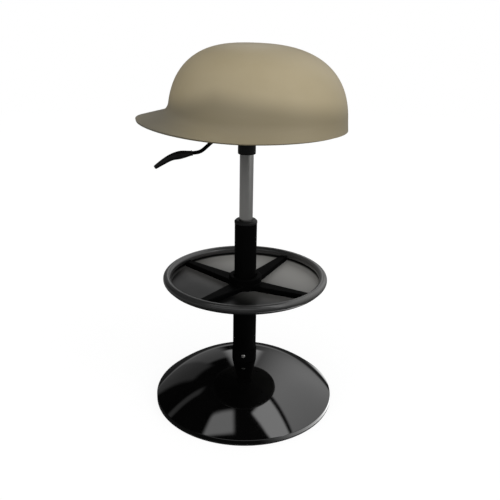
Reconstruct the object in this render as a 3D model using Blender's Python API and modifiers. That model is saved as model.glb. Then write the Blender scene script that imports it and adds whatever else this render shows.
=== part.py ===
"""Gas-lift bar stool: domed base, column, footrest with four arms and a cap-shaped moulded seat.

Metres, +Z up. The origin is on the floor, on the column's axis. The seat's brim points to -X.
"""

import math

import bmesh
import bpy
from mathutils import Matrix, Vector

# Clearances
FIT_GAP = 0.0003
HOLE_GAP = 0.0004
MERGE_DISTANCE = 0.00001
CUT_MARGIN = 0.004

# Shading, and how joint axes are drawn
SHARP_ANGLE = math.radians(35)
AXIS_DISPLAY_SIZE = 0.05
DOWN = (0, 0, -1)

# Facets round a turn
COARSE_STEPS = 8
TUBE_STEPS = 12
SMALL_STEPS = 14
MEDIUM_STEPS = 24
LARGE_STEPS = 36

# Base
BASE_RADIUS = 0.211
BASE_LIP_HEIGHT = 0.013
BASE_RISE = 0.0847
BASE_DOME_POWER = 2.2
BASE_WALL = 0.002
DOME_ROWS = 9
FLOOR_COVER_THICKNESS = 0.0025
FLOOR_RING_WIDTH = 0.012
FLOOR_RING_FOOT = 0.003
FLOOR_RING_LEG_HEIGHT = 0.007
FLOOR_RING_LEG_WALL = 0.002
WEIGHT_INSET = 0.026
WEIGHT_THICKNESS = 0.006
WEIGHT_CHAMFER = 0.0016
WEIGHT_BORE = 0.015
FLANGE_RADIUS = 0.056
FLANGE_THICKNESS = 0.006
FLANGE_CHAMFER = 0.0012
FLANGE_BOLT_COUNT = 4
FLANGE_BOLT_RADIUS = 0.004
FLANGE_BOLT_HEAD_RADIUS = 0.0068
FLANGE_BOLT_HEAD_HEIGHT = 0.0055
FLANGE_BOLT_TIP_RISE = 0.0012
COLLAR_WALL = 0.0035
COLLAR_HEIGHT = 0.0295
COLLAR_CHAMFER = 0.001
COLLAR_SCREW_RISE = 0.0185
COLLAR_SCREW_ANGLE = math.radians(-94)
COLLAR_SCREW_RADIUS = 0.0022
COLLAR_SCREW_HEAD_RADIUS = 0.0048
COLLAR_SCREW_HEAD_HEIGHT = 0.003

# Column
COLUMN_RADIUS = 0.025
COLUMN_WALL = 0.002
COLUMN_TOP = 0.4365
SLEEVE_WALL = 0.0018
SLEEVE_CHAMFER = 0.0005
BUSH_LENGTH = 0.075
BUSH_CAP_HEIGHT = 0.0085
BUSH_CAP_OVERHANG = 0.0006
BUSH_CHAMFER = 0.0035

# Footrest
FOOTREST_RADIUS = 0.178
FOOTREST_TUBE_RADIUS = 0.009
FOOTREST_HEIGHT = 0.309
HUB_WALL = 0.012
HUB_HEIGHT = 0.044
HUB_RISE = 0.004
HUB_CHAMFER = 0.002
ARM_COUNT = 4
ARM_FIRST_ANGLE = math.radians(56)
ARM_ROOT_WIDTH = 0.036
ARM_TIP_WIDTH = 0.017
ARM_DEPTH = 0.0125
ARM_ROOT_DROP = 0.006
ARM_TIP_RISE = 0.003
ARM_EDGE_RADIUS = 0.0018
PLATE_THICKNESS = 0.002
PLATE_SCREW_CIRCLE = 0.120
PLATE_SCREW_RADIUS = 0.002
PLATE_SCREW_GRIP = 0.006
PLATE_SCREW_HEAD_RADIUS = 0.0042
PLATE_SCREW_HEAD_HEIGHT = 0.0022
GRUB_RADIUS = 0.003
GRUB_POINT_RADIUS = 0.0015

# Gas lift
ROD_RADIUS = 0.005
ROD_STEP = 0.001
ROD_HEAD = 0.002
ROD_TAIL = 0.0045
CYLINDER_RADIUS = 0.015
CYLINDER_WALL = 0.0015
CYLINDER_END_WALL = 0.004
CYLINDER_LENGTH = 0.328
CYLINDER_CHAMFER = 0.001
GLAND_HEIGHT = 0.014
PISTON_HEIGHT = 0.014
PISTON_CHAMFER = 0.0014
RACE_RADIUS = 0.0135
RACE_THICKNESS = 0.002
CAGE_THICKNESS = 0.004
CAGE_CHAMFER = 0.0012
CLIP_RADIUS = 0.0095
CLIP_THICKNESS = 0.0015
LIFT_EXPOSED = 0.147

# Seat carrier
SOCKET_WALL = 0.004
SOCKET_LENGTH = 0.0317
SOCKET_CHAMFER = 0.001
CARRIER_WALL = 0.003
CARRIER_HEADROOM = 0.0044
CARRIER_LENGTH = 0.150
CARRIER_CHANNEL_HALF_WIDTH = 0.039
CARRIER_HALF_WIDTH = 0.080
CARRIER_BOLT_EDGE = 0.020
CYLINDER_PROUD = 0.001
SEAT_BOLT_RADIUS = 0.003
SEAT_BOLT_HEAD_RADIUS = 0.006
SEAT_BOLT_HEAD_HEIGHT = 0.004
SEAT_BOLT_TIP_DROP = 0.0018
TEE_NUT_WALL = 0.0014
TEE_NUT_FLANGE_RADIUS = 0.010
TEE_NUT_FLANGE = 0.0015
TEE_NUT_RISE = 0.0024

# The rounded edge of a screw's head, as a share of its height
SCREW_CROWN = 0.4

# Release lever, in its own frame: x runs outwards from the pivot
BUTTON_RADIUS = 0.0045
BUTTON_TIP_RADIUS = 0.0025
BUTTON_PROUD = 0.0065
BUTTON_LENGTH = 0.0165
LEVER_ANGLE = math.radians(190)
LEVER_PIVOT_REACH = 0.040
LEVER_PAD_PAST_AXIS = 0.006
LEVER_ROD_RADIUS = 0.004
LEVER_EYE_RADIUS = 0.0065
LEVER_PIN_RADIUS = 0.0024
LEVER_BEND = ((0.012, -0.004), (0.036, -0.0212), (0.058, -0.0392), (0.078, -0.0432))
GRIP_PATH = ((0.101, -0.0464), (0.121, -0.0513), (0.139, -0.0612), (0.155, -0.0716))
GRIP_RADII = (0.0052, 0.0086, 0.0072, 0.0060, 0.0044)
GRIP_OVERLAP_STEPS = 3
PATH_STEPS = 4
SADDLE_WALL = 0.002
SADDLE_LENGTH = 0.012
SADDLE_EAR_MARGIN = 0.0005
SADDLE_HALF_WIDTH = 0.0095
LEVER_SLOT_GAP = 0.004
LEVER_SLOT_START = 0.0085

# Seat: the crown is a rounded dome, the brim a flange that widens to the front
BOARD_THICKNESS = 0.012
BOARD_INSET = 0.001
BOARD_FRONT_REACH = 0.030
LINER_GAP = 0.0008
LINER_WALL = 0.030
RIM_DROP = 0.0023
CROWN_HEIGHT = 0.1697
CROWN_POWER = 2.6
CROWN_FRONT = 0.167
CROWN_BACK = 0.211
CROWN_HALF_WIDTH = 0.1755
CROWN_ROWS = 9
BRIM_FRONT = 0.0665
BRIM_SIDE = 0.013
BRIM_BACK = 0.001
BRIM_ROOT_SIDE = 0.018
BRIM_ROOT_FRONT_LIFT = 0.017
BRIM_ROOT_BACK_DROP = 0.004
BRIM_EDGE_SIDE = -0.001
BRIM_EDGE_FRONT_LIFT = 0.020
BRIM_FILLET = 0.0165
FILLET_MOST_OF_BRIM = 0.8
FILLET_ROWS = 3
BRIM_ROWS = 2
SHELL_WALL = 0.005
SEAT_STEPS = 40

# Radii and angles that follow from their neighbours
WEIGHT_RADIUS = BASE_RADIUS - WEIGHT_INSET
FLANGE_BOLT_CIRCLE = (COLUMN_RADIUS + FLANGE_RADIUS) / 2
COLUMN_BORE = COLUMN_RADIUS - COLUMN_WALL
HUB_RADIUS = COLUMN_RADIUS + FIT_GAP + HUB_WALL
GRUB_ANGLE = ARM_FIRST_ANGLE + math.pi / ARM_COUNT
ROD_SPIGOT_RADIUS = ROD_RADIUS - ROD_STEP
CYLINDER_BORE = CYLINDER_RADIUS - CYLINDER_WALL
CARRIER_BOLT_X = CARRIER_LENGTH / 2 - CARRIER_BOLT_EDGE
CARRIER_BOLT_Y = (CARRIER_CHANNEL_HALF_WIDTH + CARRIER_HALF_WIDTH) / 2

# Heights that follow from the stack of pieces, from the floor up
WEIGHT_BOTTOM = FLOOR_COVER_THICKNESS + FIT_GAP
FLANGE_BOTTOM = WEIGHT_BOTTOM + WEIGHT_THICKNESS + FIT_GAP
FLANGE_TOP = FLANGE_BOTTOM + FLANGE_THICKNESS
COLUMN_BOTTOM = FLANGE_TOP + FIT_GAP
DOME_BOTTOM = FLOOR_RING_FOOT + FIT_GAP
BUSH_CAP_BOTTOM = COLUMN_TOP + FIT_GAP
BUSH_TOP = BUSH_CAP_BOTTOM + BUSH_CAP_HEIGHT
HUB_TOP = FOOTREST_HEIGHT + HUB_RISE
HUB_BOTTOM = HUB_TOP - HUB_HEIGHT
ARM_ROOT_TOP = FOOTREST_HEIGHT - ARM_ROOT_DROP
ARM_TIP_TOP = FOOTREST_HEIGHT + ARM_TIP_RISE
SOCKET_BOTTOM = BUSH_TOP + LIFT_EXPOSED
CARRIER_BOTTOM = SOCKET_BOTTOM + SOCKET_LENGTH + FIT_GAP
CARRIER_FLOOR = CARRIER_BOTTOM + CARRIER_WALL
CYLINDER_TOP = CARRIER_FLOOR + CYLINDER_PROUD
CYLINDER_BOTTOM = CYLINDER_TOP - CYLINDER_LENGTH
GLAND_TOP = CYLINDER_BOTTOM + GLAND_HEIGHT
PISTON_BOTTOM = GLAND_TOP + FIT_GAP
BUTTON_TOP = CYLINDER_TOP + BUTTON_PROUD
LEVER_HEIGHT = BUTTON_TOP + FIT_GAP + LEVER_ROD_RADIUS
CARRIER_TOP = LEVER_HEIGHT + LEVER_EYE_RADIUS + CARRIER_HEADROOM
BOARD_BOTTOM = CARRIER_TOP + FIT_GAP
BOARD_TOP = BOARD_BOTTOM + BOARD_THICKNESS
CROWN_BASE = BOARD_BOTTOM - RIM_DROP - BRIM_EDGE_SIDE
RACE_BOTTOM = FLANGE_TOP + FIT_GAP
CAGE_BOTTOM = RACE_BOTTOM + RACE_THICKNESS + FIT_GAP
UPPER_RACE_BOTTOM = CAGE_BOTTOM + CAGE_THICKNESS + FIT_GAP
ROD_SHOULDER = UPPER_RACE_BOTTOM + RACE_THICKNESS + FIT_GAP


def clear_scene():
    """Removes whatever the scene holds."""
    for obj in list(bpy.data.objects):
        bpy.data.objects.remove(obj)


def new_collection(name):
    """A collection linked to the scene."""
    collection = bpy.data.collections.new(name)
    bpy.context.scene.collection.children.link(collection)
    return collection


def new_finish(name, colour, roughness, metallic=0.0):
    """A Principled material."""
    finish = bpy.data.materials.new(name)
    finish.use_nodes = True
    shader = finish.node_tree.nodes["Principled BSDF"]
    shader.inputs["Base Color"].default_value = (*colour, 1.0)
    shader.inputs["Roughness"].default_value = roughness
    shader.inputs["Metallic"].default_value = metallic
    return finish


clear_scene()
PARTS = new_collection("bar_stool")
CUTTERS = new_collection("cutters")

GLOSS_BLACK = new_finish("gloss_black_lacquer", (0.004, 0.004, 0.004), 0.06)
SATIN_BLACK = new_finish("satin_black_paint", (0.006, 0.006, 0.006), 0.42)
BLACK_PLASTIC = new_finish("black_plastic", (0.008, 0.008, 0.008), 0.5)
RUBBER = new_finish("black_rubber", (0.012, 0.012, 0.012), 0.85)
CAST_IRON = new_finish("cast_iron", (0.09, 0.085, 0.08), 0.75, 0.8)
LIFT_STEEL = new_finish("lift_steel", (0.20, 0.20, 0.19), 0.28, 1.0)
BRIGHT_STEEL = new_finish("bright_steel", (0.55, 0.55, 0.54), 0.22, 1.0)
ZINC = new_finish("zinc_plate", (0.5, 0.5, 0.48), 0.35, 1.0)
BRONZE = new_finish("bearing_bronze", (0.42, 0.27, 0.12), 0.4, 1.0)
PLYWOOD = new_finish("plywood", (0.16, 0.11, 0.07), 0.7)
FOAM = new_finish("foam_liner", (0.62, 0.56, 0.40), 0.95)
BEIGE_SHELL = new_finish("beige_moulded_shell", (0.36, 0.31, 0.20), 0.45)


def new_frame(name, location=(0, 0, 0), turn=0.0, parent=None):
    """An empty on a joint's axis, which carries the pieces that move together."""
    frame = bpy.data.objects.new(name, None)
    frame.empty_display_size = AXIS_DISPLAY_SIZE
    frame.location = location
    frame.rotation_euler.z = turn
    frame.parent = parent
    PARTS.objects.link(frame)
    return frame


STAND = new_frame("stand_frame")
SWIVEL = new_frame("swivel_axis", parent=STAND)
LIFT = new_frame("lift_axis", parent=SWIVEL)
BUTTON_SLIDE = new_frame("button_axis", parent=LIFT)
LEVER_PIVOT = new_frame(
    "lever_axis",
    (LEVER_PIVOT_REACH * math.cos(LEVER_ANGLE), LEVER_PIVOT_REACH * math.sin(LEVER_ANGLE), LEVER_HEIGHT),
    LEVER_ANGLE,
    LIFT,
)


def place(obj, finish, frame):
    """Puts a finished piece in the stool, with its material and the frame that carries it."""
    obj.data.materials.clear()
    obj.data.materials.append(finish)
    obj.parent = frame
    PARTS.objects.link(obj)
    return obj


def smooth(mesh):
    """Shades round faces smooth and keeps the edges sharp."""
    mesh.shade_smooth()
    mesh.set_sharp_from_angle(angle=SHARP_ANGLE)


def mesh_object(name, bm):
    """An object from a bmesh, which is freed."""
    mesh = bpy.data.meshes.new(name)
    bm.to_mesh(mesh)
    bm.free()
    smooth(mesh)
    return bpy.data.objects.new(name, mesh)


def turned(name, outline, steps, closed=True):
    """A turned piece: an outline of (radius, height) points that runs down its outer side.

    An outline that isn't closed starts and ends on the axis.
    """
    mesh = bpy.data.meshes.new(name)
    last = len(outline) - 1
    edges = [(i, i + 1) for i in range(last)]
    if closed:
        edges.append((last, 0))
    mesh.from_pydata([(radius, 0, height) for radius, height in outline], edges, [])
    obj = bpy.data.objects.new(name, mesh)
    turn = obj.modifiers.new("Turn", "SCREW")
    turn.steps = steps
    turn.render_steps = steps
    turn.use_merge_vertices = True
    turn.merge_threshold = MERGE_DISTANCE
    return obj


def tube_outline(outer, inner, bottom, top, chamfer=0.0):
    """A plain ring's outline, with its outer edges chamfered where asked."""
    if not chamfer:
        return [(outer, top), (outer, bottom), (inner, bottom), (inner, top)]
    return [
        (outer - chamfer, top),
        (outer, top - chamfer),
        (outer, bottom + chamfer),
        (outer - chamfer, bottom),
        (inner, bottom),
        (inner, top),
    ]


def screw_outline(shank, head, tip, seat, head_height):
    """A round-headed screw's outline, with its head above its seat and its tip below."""
    top = seat + head_height
    crown = head_height * SCREW_CROWN
    return [
        (0, top),
        (head - crown, top),
        (head, top - crown),
        (head, seat),
        (shank, seat),
        (shank, tip),
        (0, tip),
    ]


def aim(start, way):
    """The matrix that takes +Z at the origin to a direction, at start."""
    return Matrix.Translation(start) @ Vector(way).to_track_quat("Z", "X").to_matrix().to_4x4()


def drill(name, start, end, radius, steps=SMALL_STEPS, frame=None):
    """A hidden round cutter from start to end, in a frame's own space where one is given."""
    way = Vector(end) - Vector(start)
    length = way.length
    bm = bmesh.new()
    lift = Matrix.Translation((0, 0, length / 2))
    bmesh.ops.create_cone(
        bm, cap_ends=True, segments=steps, radius1=radius, radius2=radius, depth=length, matrix=lift
    )
    return hide(mesh_object(name, bm), aim(start, way), frame)


def hide(cutter, matrix, frame=None):
    """Makes an object a cutter, out of sight."""
    cutter.parent = frame
    cutter.matrix_local = matrix
    cutter.hide_render = True
    cutter.display_type = "WIRE"
    CUTTERS.objects.link(cutter)
    return cutter


def combine(obj, other, operation="DIFFERENCE"):
    """Cuts another object from this one, or joins it to this one."""
    modifier = obj.modifiers.new(f"{operation.title()} {other.name}", "BOOLEAN")
    modifier.operation = operation
    modifier.object = other
    modifier.solver = "EXACT"
    return obj


def around(count, first=0.0):
    """Evenly spaced angles round the column."""
    return [first + 2 * math.pi * i / count for i in range(count)]


def polar(radius, angle, height):
    """A point at a radius, an angle and a height."""
    return (radius * math.cos(angle), radius * math.sin(angle), height)


def dome_height(radius):
    """The height of the dome's outer face at a radius."""
    return BASE_LIP_HEIGHT + BASE_RISE * (1 - (radius / BASE_RADIUS) ** BASE_DOME_POWER)


def make_base():
    """Dome, ballast, floor cover and the rubber ring that the dome's lip stands in."""
    neck = COLUMN_RADIUS + FIT_GAP
    radii = [neck + (BASE_RADIUS - neck) * i / (DOME_ROWS - 1) for i in range(DOME_ROWS)]
    outer = [(radius, dome_height(radius)) for radius in radii]
    inner_radii = [min(radius, BASE_RADIUS - BASE_WALL) for radius in radii]
    inner = [(r, height - BASE_WALL) for r, (_, height) in zip(inner_radii, outer)]
    outline = outer + [(BASE_RADIUS, DOME_BOTTOM), (BASE_RADIUS - BASE_WALL, DOME_BOTTOM)] + inner[::-1]
    place(turned("base_dome", outline, LARGE_STEPS), GLOSS_BLACK, STAND)

    leg_outer = BASE_RADIUS - BASE_WALL - FIT_GAP
    leg_inner = leg_outer - FLOOR_RING_LEG_WALL
    ring_inner = BASE_RADIUS - FLOOR_RING_WIDTH
    leg_top = FLOOR_RING_FOOT + FLOOR_RING_LEG_HEIGHT
    ring = [
        (leg_outer, leg_top),
        (leg_outer, FLOOR_RING_FOOT),
        (BASE_RADIUS, FLOOR_RING_FOOT),
        (BASE_RADIUS, 0),
        (ring_inner, 0),
        (ring_inner, FLOOR_RING_FOOT),
        (leg_inner, FLOOR_RING_FOOT),
        (leg_inner, leg_top),
    ]
    place(turned("floor_ring", ring, LARGE_STEPS), RUBBER, STAND)

    edge = ring_inner - FIT_GAP
    cover = [(0, FLOOR_COVER_THICKNESS), (edge, FLOOR_COVER_THICKNESS), (edge, 0), (0, 0)]
    place(turned("floor_cover", cover, LARGE_STEPS, closed=False), BLACK_PLASTIC, STAND)

    weight_top = WEIGHT_BOTTOM + WEIGHT_THICKNESS
    disc = tube_outline(WEIGHT_RADIUS, WEIGHT_BORE, WEIGHT_BOTTOM, weight_top, WEIGHT_CHAMFER)
    return place(turned("base_weight", disc, LARGE_STEPS), CAST_IRON, STAND)


def make_column_foot(weight):
    """The welded flange, its bolts into the ballast, and the collar that covers the dome's neck."""
    bore = ROD_SPIGOT_RADIUS + HOLE_GAP
    flange_outline = tube_outline(FLANGE_RADIUS, bore, FLANGE_BOTTOM, FLANGE_TOP, FLANGE_CHAMFER)
    flange = place(turned("column_flange", flange_outline, MEDIUM_STEPS), SATIN_BLACK, STAND)
    tip = WEIGHT_BOTTOM + FLANGE_BOLT_TIP_RISE
    for number, angle in enumerate(around(FLANGE_BOLT_COUNT, math.pi / 4), 1):
        foot = polar(FLANGE_BOLT_CIRCLE, angle, 0)
        head = polar(FLANGE_BOLT_CIRCLE, angle, FLANGE_TOP + CUT_MARGIN)
        hole = drill(f"bolt_hole_{number}", foot, head, FLANGE_BOLT_RADIUS + HOLE_GAP, COARSE_STEPS)
        combine(flange, hole)
        combine(weight, hole)
        seat = FLANGE_TOP + FIT_GAP
        outline = screw_outline(
            FLANGE_BOLT_RADIUS, FLANGE_BOLT_HEAD_RADIUS, tip, seat, FLANGE_BOLT_HEAD_HEIGHT
        )
        bolt = place(turned(f"flange_bolt_{number}", outline, COARSE_STEPS, closed=False), ZINC, STAND)
        bolt.location = foot

    inner = COLUMN_RADIUS + FIT_GAP
    outer = inner + COLLAR_WALL
    bottom = dome_height(inner) + FIT_GAP
    outline = tube_outline(outer, inner, bottom, bottom + COLLAR_HEIGHT, COLLAR_CHAMFER)
    collar = place(turned("base_collar", outline, MEDIUM_STEPS), SATIN_BLACK, STAND)
    height = bottom + COLLAR_SCREW_RISE
    hole = drill(
        "collar_screw_hole",
        polar(inner - CUT_MARGIN / 2, COLLAR_SCREW_ANGLE, height),
        polar(outer + CUT_MARGIN, COLLAR_SCREW_ANGLE, height),
        COLLAR_SCREW_RADIUS + HOLE_GAP,
        COARSE_STEPS,
    )
    combine(collar, hole)
    outline = screw_outline(
        COLLAR_SCREW_RADIUS, COLLAR_SCREW_HEAD_RADIUS, -COLLAR_WALL, FIT_GAP, COLLAR_SCREW_HEAD_HEIGHT
    )
    screw = place(turned("base_collar_screw", outline, COARSE_STEPS, closed=False), ZINC, STAND)
    seat = polar(outer, COLLAR_SCREW_ANGLE, height)
    screw.matrix_local = aim(seat, polar(1, COLLAR_SCREW_ANGLE, 0))
    return bottom + COLLAR_HEIGHT


def make_column(collar_top):
    """Column tube, the sleeve that carries the footrest, and the guide bush at the top."""
    tube = tube_outline(COLUMN_RADIUS, COLUMN_BORE, COLUMN_BOTTOM, COLUMN_TOP)
    place(turned("column_tube", tube, MEDIUM_STEPS), SATIN_BLACK, STAND)

    inner = COLUMN_RADIUS + FIT_GAP
    sleeve = tube_outline(
        inner + SLEEVE_WALL, inner, collar_top + FIT_GAP, HUB_BOTTOM - FIT_GAP, SLEEVE_CHAMFER
    )
    place(turned("footrest_sleeve", sleeve, MEDIUM_STEPS), SATIN_BLACK, STAND)

    bore = CYLINDER_RADIUS + HOLE_GAP
    cap = COLUMN_RADIUS + BUSH_CAP_OVERHANG
    plug = COLUMN_BORE - FIT_GAP
    bush = [
        (cap - BUSH_CHAMFER, BUSH_TOP),
        (cap, BUSH_TOP - BUSH_CHAMFER),
        (cap, BUSH_CAP_BOTTOM),
        (plug, BUSH_CAP_BOTTOM),
        (plug, COLUMN_TOP - BUSH_LENGTH),
        (bore, COLUMN_TOP - BUSH_LENGTH),
        (bore, BUSH_TOP),
    ]
    place(turned("guide_bush", bush, MEDIUM_STEPS), BLACK_PLASTIC, STAND)


def arm_slope():
    """How much the arms rise for each metre that they run outwards."""
    return (ARM_TIP_TOP - ARM_ROOT_TOP) / (arm_tip_radius() - HUB_RADIUS)


def arm_tip_radius():
    """Where an arm ends, so that its flat end's corners clear the facets of the ring's tube."""
    inside = (FOOTREST_RADIUS - FOOTREST_TUBE_RADIUS) * math.cos(math.pi / LARGE_STEPS) - FIT_GAP
    return math.sqrt(inside**2 - (ARM_TIP_WIDTH / 2) ** 2)


def plate_top(radius):
    """The height of the footrest plate's upper face, just under the arms."""
    return ARM_ROOT_TOP - ARM_DEPTH - FIT_GAP + arm_slope() * (radius - HUB_RADIUS)


def tapered_arm(name, angle):
    """One arm: a box that narrows and rises from inside the hub's wall to the ring, with rounded edges."""
    root = HUB_RADIUS - HUB_WALL / 2
    tip = arm_tip_radius()
    bm = bmesh.new()
    bmesh.ops.create_cube(bm, size=1)
    for vert in bm.verts:
        at_tip = vert.co.x > 0
        radius = tip if at_tip else root
        width = ARM_TIP_WIDTH if at_tip else ARM_ROOT_WIDTH
        top = ARM_ROOT_TOP + arm_slope() * (radius - HUB_RADIUS)
        vert.co = (radius, vert.co.y * width, top - (0 if vert.co.z > 0 else ARM_DEPTH))
    long_edges = [edge for edge in bm.edges if abs(edge.verts[0].co.x - edge.verts[1].co.x) > HUB_WALL]
    bmesh.ops.bevel(bm, geom=long_edges, offset=ARM_EDGE_RADIUS, segments=2, profile=0.5, affect="EDGES")
    return hide(mesh_object(name, bm), Matrix.Rotation(angle, 4, "Z"))


def make_footrest():
    """Ring, spider with hub and four arms, the plate under the arms, and what fastens them."""
    bpy.ops.mesh.primitive_torus_add(
        major_radius=FOOTREST_RADIUS,
        minor_radius=FOOTREST_TUBE_RADIUS,
        major_segments=LARGE_STEPS,
        minor_segments=TUBE_STEPS,
        location=(0, 0, FOOTREST_HEIGHT),
    )
    ring = bpy.context.object
    ring.name = "footrest_ring"
    for collection in list(ring.users_collection):
        collection.objects.unlink(ring)
    smooth(ring.data)
    place(ring, GLOSS_BLACK, STAND)

    hub = tube_outline(HUB_RADIUS, COLUMN_RADIUS + FIT_GAP, HUB_BOTTOM, HUB_TOP, HUB_CHAMFER)
    spider = place(turned("footrest_spider", hub, MEDIUM_STEPS), SATIN_BLACK, STAND)
    angles = around(ARM_COUNT, ARM_FIRST_ANGLE)
    for number, angle in enumerate(angles, 1):
        combine(spider, tapered_arm(f"arm_{number}", angle), "UNION")

    grub_height = (HUB_BOTTOM + plate_top(HUB_RADIUS) - PLATE_THICKNESS) / 2
    inside = COLUMN_RADIUS + 2 * FIT_GAP
    grub_end = polar(HUB_RADIUS + CUT_MARGIN, GRUB_ANGLE, grub_height)
    combine(
        spider,
        drill(
            "grub_hole",
            polar(COLUMN_RADIUS - CUT_MARGIN, GRUB_ANGLE, grub_height),
            grub_end,
            GRUB_RADIUS + HOLE_GAP,
            COARSE_STEPS,
        ),
    )
    length = HUB_WALL - 3 * FIT_GAP
    point = GRUB_RADIUS - GRUB_POINT_RADIUS
    outline = [(0, length), (GRUB_RADIUS, length), (GRUB_RADIUS, point), (GRUB_POINT_RADIUS, 0), (0, 0)]
    grub = place(turned("hub_grub_screw", outline, COARSE_STEPS, closed=False), ZINC, STAND)
    grub.matrix_local = aim(polar(inside, GRUB_ANGLE, grub_height), polar(1, GRUB_ANGLE, 0))

    inner = HUB_RADIUS + FIT_GAP
    drop = FOOTREST_HEIGHT - plate_top(FOOTREST_RADIUS)
    clear = FOOTREST_TUBE_RADIUS + FIT_GAP
    outer = FOOTREST_RADIUS - math.sqrt(max(0, clear**2 - drop**2))
    outline = [
        (outer, plate_top(outer)),
        (outer, plate_top(outer) - PLATE_THICKNESS),
        (inner, plate_top(inner) - PLATE_THICKNESS),
        (inner, plate_top(inner)),
    ]
    plate = place(turned("footrest_plate", outline, LARGE_STEPS), GLOSS_BLACK, STAND)
    for number, angle in enumerate(angles, 1):
        under = plate_top(PLATE_SCREW_CIRCLE) - PLATE_THICKNESS - arm_slope() * PLATE_SCREW_HEAD_RADIUS
        tip = plate_top(PLATE_SCREW_CIRCLE) + PLATE_SCREW_GRIP
        hole = drill(
            f"plate_screw_hole_{number}",
            polar(PLATE_SCREW_CIRCLE, angle, under - CUT_MARGIN),
            polar(PLATE_SCREW_CIRCLE, angle, tip + FIT_GAP),
            PLATE_SCREW_RADIUS + HOLE_GAP,
            COARSE_STEPS,
        )
        combine(plate, hole)
        combine(spider, hole)
        seat = polar(PLATE_SCREW_CIRCLE, angle, under - FIT_GAP)
        outline = screw_outline(
            PLATE_SCREW_RADIUS, PLATE_SCREW_HEAD_RADIUS, under - tip, 0, PLATE_SCREW_HEAD_HEIGHT
        )
        name = f"footrest_screw_{number}"
        screw = place(turned(name, outline, COARSE_STEPS, closed=False), SATIN_BLACK, STAND)
        screw.matrix_local = aim(seat, DOWN)


def make_swivel():
    """The piston rod on its thrust bearing, which turns in the column and carries the lift."""
    bore = ROD_SPIGOT_RADIUS + FIT_GAP
    lower = tube_outline(RACE_RADIUS, bore, RACE_BOTTOM, RACE_BOTTOM + RACE_THICKNESS)
    place(turned("bearing_race_lower", lower, SMALL_STEPS), BRIGHT_STEEL, STAND)
    cage_top = CAGE_BOTTOM + CAGE_THICKNESS
    cage = tube_outline(RACE_RADIUS, bore, CAGE_BOTTOM, cage_top, CAGE_CHAMFER)
    place(turned("bearing_cage", cage, SMALL_STEPS), BRONZE, SWIVEL)
    upper = tube_outline(RACE_RADIUS, bore, UPPER_RACE_BOTTOM, UPPER_RACE_BOTTOM + RACE_THICKNESS)
    place(turned("bearing_race_upper", upper, SMALL_STEPS), BRIGHT_STEEL, SWIVEL)

    clip_top = FLANGE_BOTTOM - FIT_GAP
    clip = tube_outline(CLIP_RADIUS, bore, clip_top - CLIP_THICKNESS, clip_top)
    place(turned("rod_clip", clip, SMALL_STEPS), BRIGHT_STEEL, SWIVEL)

    piston_top = PISTON_BOTTOM + PISTON_HEIGHT
    rod_top = piston_top + ROD_HEAD
    rod = [
        (0, rod_top),
        (ROD_SPIGOT_RADIUS, rod_top),
        (ROD_SPIGOT_RADIUS, PISTON_BOTTOM - FIT_GAP),
        (ROD_RADIUS, PISTON_BOTTOM - FIT_GAP),
        (ROD_RADIUS, ROD_SHOULDER),
        (ROD_SPIGOT_RADIUS, ROD_SHOULDER),
        (ROD_SPIGOT_RADIUS, FLANGE_BOTTOM - ROD_TAIL),
        (0, FLANGE_BOTTOM - ROD_TAIL),
    ]
    place(turned("piston_rod", rod, SMALL_STEPS, closed=False), BRIGHT_STEEL, SWIVEL)
    piston = tube_outline(CYLINDER_BORE - FIT_GAP, bore, PISTON_BOTTOM, piston_top, PISTON_CHAMFER)
    place(turned("piston", piston, SMALL_STEPS), BRONZE, SWIVEL)


def make_lift():
    """The gas cylinder that slides over the rod, its gland, its release button and the seat's socket."""
    button_hole = BUTTON_RADIUS + FIT_GAP
    ceiling = CYLINDER_TOP - CYLINDER_END_WALL
    cylinder = [
        (CYLINDER_RADIUS - CYLINDER_CHAMFER, CYLINDER_TOP),
        (CYLINDER_RADIUS, CYLINDER_TOP - CYLINDER_CHAMFER),
        (CYLINDER_RADIUS, CYLINDER_BOTTOM),
        (CYLINDER_BORE, CYLINDER_BOTTOM),
        (CYLINDER_BORE, ceiling),
        (button_hole, ceiling),
        (button_hole, CYLINDER_TOP),
    ]
    place(turned("gas_cylinder", cylinder, MEDIUM_STEPS), LIFT_STEEL, LIFT)
    gland = tube_outline(CYLINDER_BORE - FIT_GAP, ROD_RADIUS + FIT_GAP, CYLINDER_BOTTOM, GLAND_TOP)
    place(turned("cylinder_gland", gland, SMALL_STEPS), BLACK_PLASTIC, LIFT)

    taper = BUTTON_RADIUS - BUTTON_TIP_RADIUS
    button = [
        (0, BUTTON_TOP),
        (BUTTON_TIP_RADIUS, BUTTON_TOP),
        (BUTTON_RADIUS, BUTTON_TOP - taper),
        (BUTTON_RADIUS, BUTTON_TOP - BUTTON_LENGTH),
        (0, BUTTON_TOP - BUTTON_LENGTH),
    ]
    place(turned("release_button", button, SMALL_STEPS, closed=False), BRIGHT_STEEL, BUTTON_SLIDE)

    inner = CYLINDER_RADIUS + FIT_GAP
    top = SOCKET_BOTTOM + SOCKET_LENGTH
    socket = tube_outline(inner + SOCKET_WALL, inner, SOCKET_BOTTOM, top, SOCKET_CHAMFER)
    place(turned("seat_socket", socket, MEDIUM_STEPS), SATIN_BLACK, LIFT)


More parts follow.
